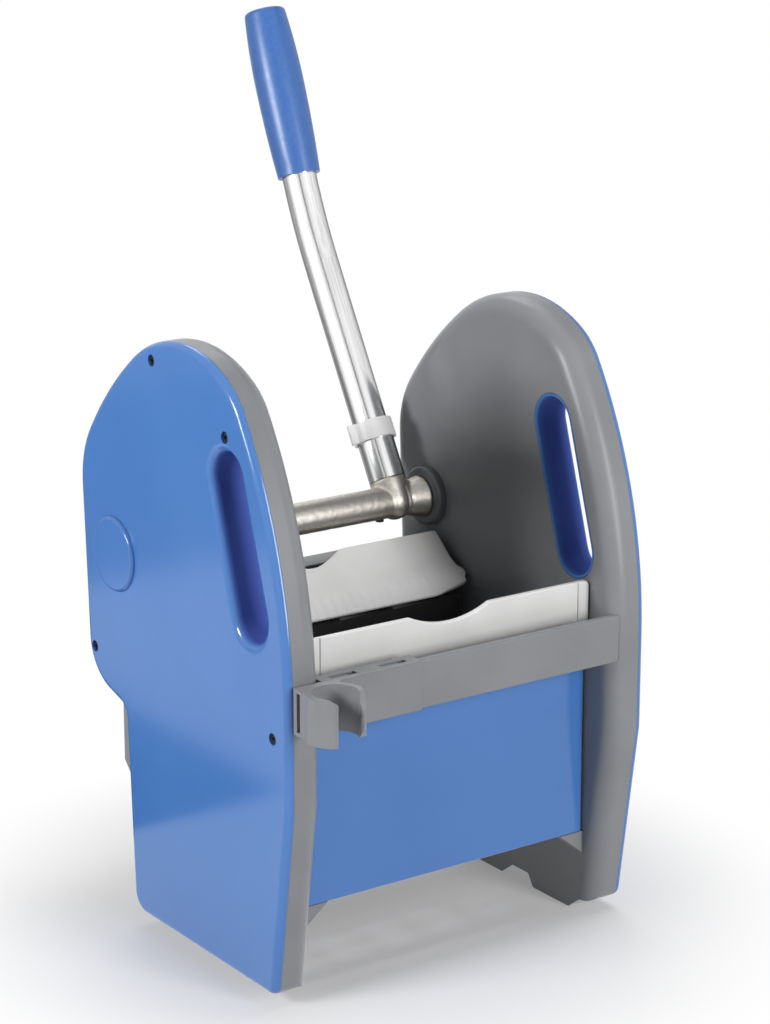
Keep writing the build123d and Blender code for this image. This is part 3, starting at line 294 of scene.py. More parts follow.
skin = add_node(
    tree,
    "ShaderNodeBsdfPrincipled",
    {"IOR": 1.49, "Specular IOR Level": 0.3},
    {
        "Base Color": tint.outputs["Color"],
        "Roughness": dullness.outputs["Result"],
        "Normal": bump.outputs["Normal"],
    },
)
add_node(tree, "ShaderNodeOutputMaterial", {}, {"Surface": skin.outputs[0]})
dress(grey_polypropylene, *both("side_panel"))

# Bushes of the lever shaft and the jaw axle: flanged rings turned from dark acetal bar and pressed
# into the side panels. Turning leaves fine rings, drawn 5 mm apart to show.
# At a scale of 1, Blender draws rings 2 pi / 20 of a metre apart.
ring_mm = 5.0
wave_length = 2 * math.pi / 20
dark_acetal, tree = start_material("dark_acetal_turned")
bush_low, bush_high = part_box("right_shaft_bush")
bush_middle = (bush_low + bush_high) / 2
place = add_node(tree, "ShaderNodeTexCoord")
centred = add_node(
    tree,
    "ShaderNodeMapping",
    {"Location": (0, -bush_middle.y, -bush_middle.z)},
    {"Vector": place.outputs["Object"]},
)
rings = add_node(
    tree,
    "ShaderNodeTexWave",
    {
        "wave_type": "RINGS",
        "rings_direction": "X",
        "Scale": 1000 / ring_mm * wave_length,
        "Distortion": 0.6,
        "Detail": 1.0,
    },
    {"Vector": centred.outputs["Vector"]},
)
tint = add_node(tree, "ShaderNodeValToRGB", {}, {"Fac": rings.outputs["Fac"]})
tint.color_ramp.elements[0].color = linear("#66696C")
tint.color_ramp.elements[1].color = linear("#707376")
bump = add_node(
    tree,
    "ShaderNodeBump",
    {"Strength": 0.05, "Distance": 0.0002},
    {"Height": rings.outputs["Fac"]},
)
skin = add_node(
    tree,
    "ShaderNodeBsdfPrincipled",
    {"Roughness": 0.4, "IOR": 1.48},
    {"Base Color": tint.outputs["Color"], "Normal": bump.outputs["Normal"]},
)
add_node(tree, "ShaderNodeOutputMaterial", {}, {"Surface": skin.outputs[0]})
dress(dark_acetal, *both("shaft_bush"), *both("axle_bush"))

# Jaw axle and idler pins: ground steel bar with a thin zinc coat, set in the bushes and the panels.
# Grinding leaves a bright skin with fine streaks round the bar, drawn 1.2 mm wide to show.
# The lever shaft and core are of the same bar.
streak_mm = 1.2
streak_stretch = 14
ground_steel, tree = start_material("zinc_coated_steel_ground")
place = add_node(tree, "ShaderNodeTexCoord")
along_bar = add_node(
    tree,
    "ShaderNodeMapping",
    {"Scale": (streak_stretch, 1, 1)},
    {"Vector": place.outputs["Object"]},
)
streaks = add_node(
    tree,
    "ShaderNodeTexNoise",
    {"Scale": 1000 / streak_mm / streak_stretch, "Detail": 3.0},
    {"Vector": along_bar.outputs["Vector"]},
)
tint = add_node(tree, "ShaderNodeValToRGB", {}, {"Fac": streaks.outputs["Fac"]})
tint.color_ramp.elements[0].position = 0.3
tint.color_ramp.elements[0].color = linear("#93918D")
tint.color_ramp.elements[1].position = 0.7
tint.color_ramp.elements[1].color = linear("#B4B2AE")
skin = add_node(
    tree,
    "ShaderNodeBsdfPrincipled",
    {"Roughness": 0.32, "Metallic": 1.0},
    {"Base Color": tint.outputs["Color"]},
)
add_node(tree, "ShaderNodeOutputMaterial", {}, {"Surface": skin.outputs[0]})
dress(ground_steel, "jaw_axle", *both("idler_pin"))

# Gear train in each housing: pinion, idler and sector, moulded in natural nylon with straight teeth.
# The eye sees a waxy cream that goes slightly darker in clouds about 20 mm wide.
nylon_cloud_mm = 20
natural_nylon, tree = start_material("natural_nylon_moulded")
place = add_node(tree, "ShaderNodeTexCoord")
cloud = add_node(
    tree,
    "ShaderNodeTexNoise",
    {"Scale": 1000 / nylon_cloud_mm, "Detail": 2.0},
    {"Vector": place.outputs["Object"]},
)
tint = add_node(tree, "ShaderNodeValToRGB", {}, {"Fac": cloud.outputs["Fac"]})
tint.color_ramp.elements[0].position = 0.3
tint.color_ramp.elements[0].color = linear("#CFC9B6")
tint.color_ramp.elements[1].position = 0.7
tint.color_ramp.elements[1].color = linear("#DAD5C4")
skin = add_node(
    tree,
    "ShaderNodeBsdfPrincipled",
    {
        "Roughness": 0.42,
        "IOR": 1.53,
        "Subsurface Weight": 0.15,
        "Subsurface Scale": 0.003,
        "Subsurface Radius": (1, 1, 1),
    },
    {"Base Color": tint.outputs["Color"]},
)
add_node(tree, "ShaderNodeOutputMaterial", {}, {"Surface": skin.outputs[0]})
dress(natural_nylon, *both("pinion"), *both("idler_gear"), *both("sector_gear"))

# Jaw carrier: a ribbed bracket on the axle, moulded in black glass-filled nylon.
# Glass fibre at the skin gives a dull black with faint paler streaks, drawn 3 mm wide to show.
fibre_mm = 3.0
black_nylon, tree = start_material("black_nylon_glass_filled")
place = add_node(tree, "ShaderNodeTexCoord")
fibre = add_node(
    tree,
    "ShaderNodeTexNoise",
    {"Scale": 1000 / fibre_mm, "Detail": 4.0, "Distortion": 0.8},
    {"Vector": place.outputs["Object"]},
)
tint = add_node(tree, "ShaderNodeValToRGB", {}, {"Fac": fibre.outputs["Fac"]})
tint.color_ramp.elements[0].position = 0.35
tint.color_ramp.elements[0].color = linear("#131416")
tint.color_ramp.elements[1].position = 0.75
tint.color_ramp.elements[1].color = linear("#1C1D1F")
bump = add_node(
    tree,
    "ShaderNodeBump",
    {"Strength": 0.06, "Distance": 0.0003},
    {"Height": fibre.outputs["Fac"]},
)
skin = add_node(
    tree,
    "ShaderNodeBsdfPrincipled",
    {"Roughness": 0.48, "IOR": 1.53},
    {"Base Color": tint.outputs["Color"], "Normal": bump.outputs["Normal"]},
)
add_node(tree, "ShaderNodeOutputMaterial", {}, {"Surface": skin.outputs[0]})
dress(black_nylon, "jaw_carrier")


# Rear jaw: a fluted plate moulded in white polypropylene and set on the carrier. It is modelled from
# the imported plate, with higher, softer flutes and a fuller lower part.
def copy_node(node_name, piece_name):
    """A piece with a merged copy of a CAD node's mesh, left in edit mode with all of it selected."""
    piece = bpy.data.objects.new(piece_name, nodes[node_name].data.copy())
    bpy.context.scene.collection.objects.link(piece)
    bpy.ops.object.select_all(action="DESELECT")
    piece.select_set(True)
    bpy.context.view_layer.objects.active = piece
    bpy.ops.object.mode_set(mode="EDIT")
    bpy.ops.mesh.select_all(action="SELECT")
    bpy.ops.mesh.remove_doubles(threshold=merge_mm / 1000)
    return piece


def soften(piece, voxel_mm, rounding_passes):
    """Leaves edit mode, gives the piece an even mesh and rounds its edges."""
    bpy.ops.object.mode_set(mode="OBJECT")
    remesh = piece.modifiers.new("mould", "REMESH")
    remesh.mode = "VOXEL"
    remesh.voxel_size = voxel_mm / 1000
    bpy.ops.object.modifier_apply(modifier=remesh.name)
    rounding = piece.modifiers.new("rounding", "SMOOTH")
    rounding.factor = 0.5
    rounding.iterations = rounding_passes
    bpy.ops.object.modifier_apply(modifier=rounding.name)


merge_mm = 0.01
plate_voxel_mm = 0.7
plate_rounding_passes = 4
plate_lean = 40.4
plate_swell_at_mm = 12.0
plate_swell_mm = 3.6
plate_swell_reach_mm = 20.0
plate_thickness_mm = 5.0
plate_cut_mm = 1.5
flute_height_mm = 0.6
flute_rise_mm = 0.5
flute_reach_mm = 2.0
jaw_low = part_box("rear_jaw")[0]
plate_up = Vector((0, math.cos(math.radians(plate_lean)), math.sin(math.radians(plate_lean))))
plate_out = Vector((0, -plate_up.z, plate_up.y))
plate_foot = Vector((0, jaw_low.y, jaw_low.z + plate_thickness_mm / 1000 * plate_out.z))
plate = copy_node("rear_jaw", "rear_jaw_plate")
bpy.ops.mesh.bisect(
    plane_co=plate_foot - Vector((0, 0, plate_cut_mm / 1000)),
    plane_no=(0, 0, 1),
    use_fill=True,
    clear_inner=True,
)
soften(plate, plate_voxel_mm, plate_rounding_passes)
for move, move_mm, reach_mm in (
    ("flutes", flute_rise_mm, flute_reach_mm),
    ("swell", plate_swell_mm, plate_swell_reach_mm),
):
    for vertex in plate.data.vertices:
        up_plate = (vertex.co - plate_foot).dot(plate_up)
        off_plate = (vertex.co - plate_foot).dot(plate_out)
        on_flute = off_plate > flute_height_mm / 2 / 1000
        on_swell = abs(up_plate - plate_swell_at_mm / 1000) < plate_voxel_mm / 1000
        vertex.select = on_flute if move == "flutes" else on_swell
    bpy.ops.object.mode_set(mode="EDIT")
    bpy.ops.mesh.select_mode(type="VERT")
    bpy.ops.transform.translate(
        value=plate_out * move_mm / 1000,
        use_proportional_edit=True,
        proportional_edit_falloff="SMOOTH",
        proportional_size=reach_mm / 1000,
    )
    bpy.ops.object.mode_set(mode="OBJECT")
bpy.ops.object.shade_smooth()

# White polypropylene: the eye sees a soft milky white, a little uneven where the plastic flowed,
# with rounded edges. Its grain is drawn 1.2 mm wide to show.
jaw_flow_mm = 35
jaw_grain_mm = 1.2
jaw_edge_mm = 0.5
white_polypropylene, tree = start_material("white_polypropylene_moulded")
place = add_node(tree, "ShaderNodeTexCoord")
flow = add_node(
    tree,
    "ShaderNodeTexNoise",
    {"Scale": 1000 / jaw_flow_mm, "Detail": 2.0},
    {"Vector": place.outputs["Object"]},
)
tint = add_node(tree, "ShaderNodeValToRGB", {}, {"Fac": flow.outputs["Fac"]})
tint.color_ramp.elements[0].position = 0.3
tint.color_ramp.elements[0].color = linear("#E3E2E1")
tint.color_ramp.elements[1].position = 0.7
tint.color_ramp.elements[1].color = linear("#EBEAE9")
grain = add_node(
    tree,
    "ShaderNodeTexNoise",
    {"Scale": 1000 / jaw_grain_mm, "Detail": 2.0},
    {"Vector": place.outputs["Object"]},
)
edge = add_node(tree, "ShaderNodeBevel", {"samples": 4, "Radius": jaw_edge_mm / 1000})
bump = add_node(
    tree,
    "ShaderNodeBump",
    {"Strength": 0.05, "Distance": 0.0002},
    {"Height": grain.outputs["Fac"], "Normal": edge.outputs["Normal"]},
)
skin = add_node(
    tree,
    "ShaderNodeBsdfPrincipled",
    {
        "Roughness": 0.4,
        "IOR": 1.49,
        "Subsurface Weight": 0.12,
        "Subsurface Scale": 0.003,
        "Subsurface Radius": (1, 1, 1),
    },
    {"Base Color": tint.outputs["Color"], "Normal": bump.outputs["Normal"]},
)
add_node(tree, "ShaderNodeOutputMaterial", {}, {"Surface": skin.outputs[0]})
plate.data.materials.clear()
plate.data.materials.append(white_polypropylene)
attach(plate, "jaw")
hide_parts("rear_jaw")

# Crossbars: hollow grey mouldings that join the two sides in front and behind.
# Zinc-coated screws through the side panels hold their ends.
dress(grey_polypropylene, "front_crossbar", "rear_crossbar")

# Zinc-coated steel of the hidden screws: a bright grey with small crystals, drawn 1.5 mm wide to show.
crystal_mm = 1.5
zinc_steel, tree = start_material("screw_steel_zinc_coated")
place = add_node(tree, "ShaderNodeTexCoord")
crystals = add_node(
    tree,
    "ShaderNodeTexVoronoi",
    {"Scale": 1000 / crystal_mm},
    {"Vector": place.outputs["Object"]},
)
tint = add_node(tree, "ShaderNodeValToRGB", {}, {"Fac": crystals.outputs["Distance"]})
tint.color_ramp.elements[0].color = linear("#8C8E90")
tint.color_ramp.elements[1].color = linear("#A4A6A8")
skin = add_node(
    tree,
    "ShaderNodeBsdfPrincipled",
    {"Roughness": 0.36, "Metallic": 1.0},
    {"Base Color": tint.outputs["Color"]},
)
add_node(tree, "ShaderNodeOutputMaterial", {}, {"Surface": skin.outputs[0]})
dress(zinc_steel, *both("bar_screws"))

# Front panel: a flat blue sheet moulded in polypropylene, held in the grooves of the two sides.
# The mould is polished, so it is glossy, with a slight waviness about 9 mm wide and faint flow clouds.
blue_flow_mm = 110
blue_wave_mm = 9
blue_edge_mm = 0.4
blue_polypropylene, tree = start_material("blue_polypropylene_polished_mould")
place = add_node(tree, "ShaderNodeTexCoord")
flow = add_node(
    tree,
    "ShaderNodeTexNoise",
    {"Scale": 1000 / blue_flow_mm, "Detail": 2.0},
    {"Vector": place.outputs["Object"]},
)
tint = add_node(tree, "ShaderNodeValToRGB", {}, {"Fac": flow.outputs["Fac"]})
tint.color_ramp.elements[0].position = 0.3
tint.color_ramp.elements[0].color = linear("#4677BB")
tint.color_ramp.elements[1].position = 0.7
tint.color_ramp.elements[1].color = linear("#4B7CBF")
wave = add_node(
    tree,
    "ShaderNodeTexNoise",
    {"Scale": 1000 / blue_wave_mm, "Detail": 1.0},
    {"Vector": place.outputs["Object"]},
)
edge = add_node(tree, "ShaderNodeBevel", {"samples": 4, "Radius": blue_edge_mm / 1000})
bump = add_node(
    tree,
    "ShaderNodeBump",
    {"Strength": 0.03, "Distance": 0.0002},
    {"Height": wave.outputs["Fac"], "Normal": edge.outputs["Normal"]},
)
# The covers are of the same plastic. Inside their hand slots the mould is left dull, with little gloss, and
# a deeper violet blue is painted on as the shade that fills the deep slots; this painted shade goes over to
# the plain blue towards both mouths.
slot_from_front_mm = 54.6
slot_middle_mm = 301.3
slot_lean = 17.3
slot_arc_mm = 43.5
slot_radius_mm = 17.5
slot_mouth_mm = 2.0
slot_wall_mm = 0.2
slot_inner_mm = 116
slot_outer_mm = 144
# Painted shade in the hand slots: it fades in over this depth from each mouth, and keeps this share at the
# mouths.
slot_shade_fade_mm = 7
slot_mouth_shade_share = 0.25
slot_turned = Matrix.Rotation(math.radians(slot_lean), 3, "X")
slot_centre = slot_turned @ Vector((0, cover_front + slot_from_front_mm / 1000, slot_middle_mm / 1000))
slot_middle_x = (slot_inner_mm + slot_outer_mm) / 2 / 1000
slot_half_depth = (slot_outer_mm - slot_inner_mm) / 2 / 1000
slot_place = add_node(
    tree,
    "ShaderNodeMapping",
    {"Location": tuple(-slot_centre), "Rotation": (math.radians(slot_lean), 0, 0)},
    {"Vector": place.outputs["Object"]},
)
slot_axes = add_node(tree, "ShaderNodeSeparateXYZ", {}, {"Vector": slot_place.outputs["Vector"]})
slot_along = add_node(tree, "ShaderNodeMath", {"operation": "ABSOLUTE"}, {0: slot_axes.outputs["Z"]})
slot_beyond = add_node(
    tree,
    "ShaderNodeMath",
    {"operation": "SUBTRACT", "use_clamp": True, 1: slot_arc_mm / 1000},
    {0: slot_along.outputs[0]},
)
slot_across = add_node(
    tree,
    "ShaderNodeCombineXYZ",
    {},
    {"Y": slot_axes.outputs["Y"], "Z": slot_beyond.outputs[0]},
)
slot_distance = add_node(
    tree,
    "ShaderNodeVectorMath",
    {"operation": "LENGTH"},
    {0: slot_across.outputs["Vector"]},
)
slot_inside = add_node(
    tree,
    "ShaderNodeMapRange",
    {
        "interpolation_type": "SMOOTHSTEP",
        "From Min": (slot_radius_mm + slot_mouth_mm) / 1000,
        "From Max": (slot_radius_mm + slot_wall_mm) / 1000,
    },
    {"Value": slot_distance.outputs["Value"]},
)
slot_from_plane = add_node(tree, "ShaderNodeMath", {"operation": "ABSOLUTE"}, {0: slot_axes.outputs["X"]})
slot_beside_middle = add_node(
    tree,
    "ShaderNodeMath",
    {"operation": "SUBTRACT", 1: slot_middle_x},
    {0: slot_from_plane.outputs[0]},
)
slot_from_middle = add_node(
    tree,
    "ShaderNodeMath",
    {"operation": "ABSOLUTE"},
    {0: slot_beside_middle.outputs[0]},
)
slot_shade_by_depth = add_node(
    tree,
    "ShaderNodeMapRange",
    {
        "interpolation_type": "SMOOTHSTEP",
        "From Min": slot_half_depth,
        "From Max": slot_half_depth - slot_shade_fade_mm / 1000,
        "To Min": slot_mouth_shade_share,
        "To Max": 1.0,
    },
    {"Value": slot_from_middle.outputs[0]},
)
# Painted shade: the deeper violet blue is mixed in deep inside the hand slots, where little light reaches.
slot_painted_shade_share = add_node(
    tree,
    "ShaderNodeMath",
    {"operation": "MULTIPLY"},
    {0: slot_inside.outputs["Result"], 1: slot_shade_by_depth.outputs["Result"]},
)
# A Mix node's sockets share their names, so they are given by number: 6 and 7 are its colours.
slot_painted_shade_tint = add_node(
    tree,
    "ShaderNodeMix",
    {"data_type": "RGBA", 7: linear("#465AA8")},
    {0: slot_painted_shade_share.outputs[0], 6: tint.outputs["Color"]},
)
slot_dullness = add_node(
    tree,
    "ShaderNodeMapRange",
    {"To Min": 0.14, "To Max": 0.7},
    {"Value": slot_inside.outputs["Result"]},
)
slot_gloss = add_node(
    tree,
    "ShaderNodeMapRange",
    {"To Min": 0.5, "To Max": 0.1},
    {"Value": slot_inside.outputs["Result"]},
)
skin = add_node(
    tree,
    "ShaderNodeBsdfPrincipled",
    {"IOR": 1.49},
    {
        "Base Color": slot_painted_shade_tint.outputs[2],
        "Roughness": slot_dullness.outputs["Result"],
        "Specular IOR Level": slot_gloss.outputs["Result"],
        "Normal": bump.outputs["Normal"],
    },
)
add_node(tree, "ShaderNodeOutputMaterial", {}, {"Surface": skin.outputs[0]})
dress(blue_polypropylene, "front_panel")

# Front jaw: the fixed white plate behind the front panel, of the same polypropylene as the rear jaw.
# It is held by the panel in front of it and by the ribs behind.
dress(white_polypropylene, "front_jaw")

# Rear panel and drain grid: thin grey mouldings that close the mop space behind and below.
# They sit in grooves of the two sides.
dress(grey_polypropylene, "rear_panel", "drain_grid")

# Mop handle clip: an open ring on a saddle that hooks over the front crossbar's left end.
# It is moulded in the same grey polypropylene as the bar.
dress(grey_polypropylene, "mop_handle_clip")

# Lever shaft: steel bar that turns in the bushes, with square ends for the pinions.
# The lever's inner core is of the same bar and joins the socket and the tube.
dress(ground_steel, "lever_shaft", "lever_core")

# Lever tee: an iron casting over the shaft with a branch for the lever, sand cast and hot-dip galvanised.
# The sand leaves a lumpy skin, and the end of the tee has a bead and a seam beside the hub.
tee_voxel_mm = 1.0
tee_rounding_passes = 5
tee_lump_mm = 5.0
tee_lump_height_mm = 0.3
seam_from_hub_mm = 2.4
seam_width_mm = 2.0
seam_depth_mm = 0.8
bead_width_mm = 3.4
bead_height_mm = 0.6
hub_length_mm = 16.0
sleeve_reach_share = 1.6
casting = copy_node("lever_tee", "lever_tee_casting")
soften(casting, tee_voxel_mm, tee_rounding_passes)
tee_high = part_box("lever_tee")[1]
shaft_low, shaft_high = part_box("lever_shaft")
shaft_middle = (shaft_low + shaft_high) / 2
seam_x = tee_high.x - (hub_length_mm + seam_from_hub_mm) / 1000
bead_x = seam_x - (seam_width_mm + bead_width_mm) / 2 / 1000
sleeve_reach = (shaft_high.z - shaft_low.z) / 2 * sleeve_reach_share
for ring_x, ring_width_mm, ring_rise_mm in (
    (bead_x, bead_width_mm, bead_height_mm),
    (seam_x, seam_width_mm, -seam_depth_mm),
):
    for vertex in casting.data.vertices:
        from_axis = math.hypot(vertex.co.y - shaft_middle.y, vertex.co.z - shaft_middle.z)
        beside_ring = abs(vertex.co.x - ring_x) > ring_width_mm / 2 / 1000
        vertex.select = not beside_ring and shaft_high.z - shaft_middle.z < from_axis < sleeve_reach
    bpy.ops.object.mode_set(mode="EDIT")
    bpy.ops.mesh.select_mode(type="VERT")
    bpy.ops.transform.shrink_fatten(value=ring_rise_mm / 1000)
    bpy.ops.object.mode_set(mode="OBJECT")
lumps = bpy.data.textures.new("sand_lumps", "CLOUDS")
lumps.noise_scale = tee_lump_mm / 1000
lumps.noise_depth = 2
lumpy = casting.modifiers.new("sand_lumps", "DISPLACE")
lumpy.texture = lumps
lumpy.texture_coords = "LOCAL"
lumpy.strength = tee_lump_height_mm / 1000
bpy.ops.object.modifier_apply(modifier=lumpy.name)
bpy.ops.object.shade_smooth()

# Galvanised cast iron: the eye sees warm pewter, mottled in patches of 2.5 mm, bright where the zinc is
# thick and dull where the sand shows through. The sand itself is 0.4 mm and is drawn twice as coarse.
zinc_patch_mm = 2.5
sand_mm = 0.8
galvanised_iron, tree = start_material("cast_iron_galvanised")
place = add_node(tree, "ShaderNodeTexCoord")
patch = add_node(
    tree,
    "ShaderNodeTexNoise",
    {"Scale": 1000 / zinc_patch_mm, "Detail": 4.0, "Roughness": 0.6},
    {"Vector": place.outputs["Object"]},
)
tint = add_node(tree, "ShaderNodeValToRGB", {}, {"Fac": patch.outputs["Fac"]})
tint.color_ramp.elements[0].position = 0.32
tint.color_ramp.elements[0].color = linear("#B9B5AC")
tint.color_ramp.elements[1].position = 0.66
tint.color_ramp.elements[1].color = linear("#CBC7BF")
dullness = add_node(
    tree,
    "ShaderNodeMapRange",
    {"From Min": 0.3, "From Max": 0.7, "To Min": 0.5, "To Max": 0.36},
    {"Value": patch.outputs["Fac"]},
)
sand = add_node(
    tree,
    "ShaderNodeTexNoise",
    {"Scale": 1000 / sand_mm, "Detail": 2.0},
    {"Vector": place.outputs["Object"]},
)
bump = add_node(
    tree,
    "ShaderNodeBump",
    {"Strength": 0.25, "Distance": 0.0003},
    {"Height": sand.outputs["Fac"]},
)
skin = add_node(
    tree,
    "ShaderNodeBsdfPrincipled",
    {"Metallic": 1.0},
    {
        "Base Color": tint.outputs["Color"],
        "Roughness": dullness.outputs["Result"],
        "Normal": bump.outputs["Normal"],
    },
)
add_node(tree, "ShaderNodeOutputMaterial", {}, {"Surface": skin.outputs[0]})
casting.data.materials.clear()
casting.data.materials.append(galvanised_iron)
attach(casting, "lever")
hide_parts("lever_tee")

# Tee screw: a set screw through the underside of the tee that locks it to the shaft.
# It is oil-blackened steel, dull and nearly black, in patches of about 1.5 mm.
oil_patch_mm = 1.5
black_steel, tree = start_material("screw_steel_oil_blackened")
place = add_node(tree, "ShaderNodeTexCoord")
patch = add_node(
    tree,
    "ShaderNodeTexNoise",
    {"Scale": 1000 / oil_patch_mm, "Detail": 2.0},
    {"Vector": place.outputs["Object"]},
)
tint = add_node(tree, "ShaderNodeValToRGB", {}, {"Fac": patch.outputs["Fac"]})
tint.color_ramp.elements[0].color = linear("#2C2C2E")
tint.color_ramp.elements[1].color = linear("#4A4A4D")
skin = add_node(
    tree,
    "ShaderNodeBsdfPrincipled",
    {"Roughness": 0.42, "Metallic": 1.0},
    {"Base Color": tint.outputs["Color"]},
)
add_node(tree, "ShaderNodeOutputMaterial", {}, {"Surface": skin.outputs[0]})
dress(black_steel, "tee_screw")

# Lever socket and tube: drawn aluminium tube, polished, bent once below the grip and seated on the tee.
# The die leaves fine lines along the tube, drawn 1.5 mm wide to show, on two straight lengths.
die_line_mm = 1.5
die_line_stretch = 40
lever_lean = 29.9
lever_bend = 8.7
bend_share = 0.57
tube_low, tube_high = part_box("lever_tube")
bend_z = tube_low.z + (tube_high.z - tube_low.z) * bend_share
drawn_aluminium, tree = start_material("aluminium_drawn_polished")
place = add_node(tree, "ShaderNodeTexCoord")
height = add_node(tree, "ShaderNodeSeparateXYZ", {}, {"Vector": place.outputs["Object"]})
above_bend = add_node(
    tree,
    "ShaderNodeMath",
    {"operation": "GREATER_THAN", 1: bend_z},
    {0: height.outputs["Z"]},
)
lower_length = add_node(
    tree,
    "ShaderNodeMapping",
    {"Rotation": (math.radians(lever_lean), 0, 0)},
    {"Vector": place.outputs["Object"]},
)
upper_length = add_node(
    tree,
    "ShaderNodeMapping",
    {"Rotation": (math.radians(lever_lean - lever_bend), 0, 0)},
    {"Vector": place.outputs["Object"]},
)
# Sockets 4 and 5 of the Mix node are its vectors.
along_tube = add_node(
    tree,
    "ShaderNodeMix",
    {"data_type": "VECTOR"},
    {0: above_bend.outputs[0], 4: lower_length.outputs["Vector"], 5: upper_length.outputs["Vector"]},
)
drawn_out = add_node(
    tree,
    "ShaderNodeVectorMath",
    {"operation": "MULTIPLY", 1: (1, 1, 1 / die_line_stretch)},
    {0: along_tube.outputs[1]},
)
lines = add_node(
    tree,
    "ShaderNodeTexNoise",
    {"Scale": 1000 / die_line_mm, "Detail": 3.0},
    {"Vector": drawn_out.outputs["Vector"]},
)
tint = add_node(tree, "ShaderNodeValToRGB", {}, {"Fac": lines.outputs["Fac"]})
tint.color_ramp.elements[0].position = 0.3
tint.color_ramp.elements[0].color = linear("#D6D6D7")
tint.color_ramp.elements[1].position = 0.6
tint.color_ramp.elements[1].color = linear("#EEEEEE")
dullness = add_node(
    tree,
    "ShaderNodeMapRange",
    {"From Min": 0.3, "From Max": 0.7, "To Min": 0.26, "To Max": 0.18},
    {"Value": lines.outputs["Fac"]},
)
bump = add_node(
    tree,
    "ShaderNodeBump",
    {"Strength": 0.04, "Distance": 0.0002},
    {"Height": lines.outputs["Fac"]},
)
# The grey edge tint darkens the metal's reflection at grazing angles: painted shade along the outline of the
# socket and the tube.
skin = add_node(
    tree,
    "ShaderNodeBsdfPrincipled",
    {"Metallic": 1.0, "Specular Tint": linear("#8C8C8C")},
    {
        "Base Color": tint.outputs["Color"],
        "Roughness": dullness.outputs["Result"],
        "Normal": bump.outputs["Normal"],
    },
)
add_node(tree, "ShaderNodeOutputMaterial", {}, {"Surface": skin.outputs[0]})
dress(drawn_aluminium, "lever_socket", "lever_tube")

# Lever collar: a snap ring round the socket with a small nub, moulded in natural polyethylene.
# It lets some light through, so it looks milky, paler at its edges.
collar_cloud_mm = 12
collar_edge_mm = 0.5
natural_polyethylene, tree = start_material("natural_polyethylene_moulded")
place = add_node(tree, "ShaderNodeTexCoord")
cloud = add_node(
    tree,
    "ShaderNodeTexNoise",
    {"Scale": 1000 / collar_cloud_mm, "Detail": 2.0},
    {"Vector": place.outputs["Object"]},
)
tint = add_node(tree, "ShaderNodeValToRGB", {}, {"Fac": cloud.outputs["Fac"]})
tint.color_ramp.elements[0].position = 0.3
tint.color_ramp.elements[0].color = linear("#E6E6E6")
tint.color_ramp.elements[1].position = 0.7
tint.color_ramp.elements[1].color = linear("#EEEEEE")
edge = add_node(tree, "ShaderNodeBevel", {"samples": 4, "Radius": collar_edge_mm / 1000})
skin = add_node(
    tree,
    "ShaderNodeBsdfPrincipled",
    {
        "Roughness": 0.36,
        "IOR": 1.51,
        "Subsurface Weight": 0.35,
        "Subsurface Scale": 0.004,
        "Subsurface Radius": (1, 1, 1),
    },
    {"Base Color": tint.outputs["Color"], "Normal": edge.outputs["Normal"]},
)
add_node(tree, "ShaderNodeOutputMaterial", {}, {"Surface": skin.outputs[0]})
dress(natural_polyethylene, "lever_collar")

# Lever grip: a barrel-shaped sleeve of blue vinyl, moulded soft and pushed over the tube's end.
# The eye sees a satin blue with a dull bloom in small specks about 3 mm wide.
# Its fine grain is drawn 0.9 mm wide to show.
bloom_mm = 3.0
grip_grain_mm = 0.9
grip_edge_mm = 0.5
blue_vinyl, tree = start_material("blue_vinyl_moulded")
place = add_node(tree, "ShaderNodeTexCoord")
bloom = add_node(
    tree,
    "ShaderNodeTexNoise",
    {"Scale": 1000 / bloom_mm, "Detail": 3.0},
    {"Vector": place.outputs["Object"]},
)
tint = add_node(tree, "ShaderNodeValToRGB", {}, {"Fac": bloom.outputs["Fac"]})
tint.color_ramp.elements[0].position = 0.35
tint.color_ramp.elements[0].color = linear("#3C68AC")
tint.color_ramp.elements[1].position = 0.72
tint.color_ramp.elements[1].color = linear("#456FB2")
dullness = add_node(
    tree,
    "ShaderNodeMapRange",
    {"From Min": 0.3, "From Max": 0.7, "To Min": 0.3, "To Max": 0.38},
    {"Value": bloom.outputs["Fac"]},
)
grain = add_node(
    tree,
    "ShaderNodeTexNoise",
    {"Scale": 1000 / grip_grain_mm, "Detail": 2.0},
    {"Vector": place.outputs["Object"]},
)
edge = add_node(tree, "ShaderNodeBevel", {"samples": 4, "Radius": grip_edge_mm / 1000})
bump = add_node(
    tree,
    "ShaderNodeBump",
    {"Strength": 0.06, "Distance": 0.0002},
    {"Height": grain.outputs["Fac"], "Normal": edge.outputs["Normal"]},
)
skin = add_node(
    tree,
    "ShaderNodeBsdfPrincipled",
    {"IOR": 1.52},
    {
        "Base Color": tint.outputs["Color"],
        "Roughness": dullness.outputs["Result"],
        "Normal": bump.outputs["Normal"],
    },
)
add_node(tree, "ShaderNodeOutputMaterial", {}, {"Surface": skin.outputs[0]})
dress(blue_vinyl, "lever_grip")

# End screws of the lever shaft and the jaw axle: washer-faced screws that keep the gears on.
# They are inside the housings and are of the same zinc-coated steel as the crossbar screws.
dress(zinc_steel, *both("shaft_end_screw"), *both("axle_end_screw"))

# Covers: blue lids that close the gear housings, each with a hand slot and a round boss over the shaft.
# They are of the same glossy polypropylene as the front panel and are held by four screws each.
dress(blue_polypropylene, *both("cover"))


# Cover screws: pan heads with a cross recess, four in each cover, sunk in round recesses at its edge.
# They are of the same oil-blackened steel as the tee screw. One is modelled standing up and copied to
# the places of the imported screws.
def middle(values):
    """Halfway between the lowest and the highest of some numbers."""
    return (max(values) + min(values)) / 2


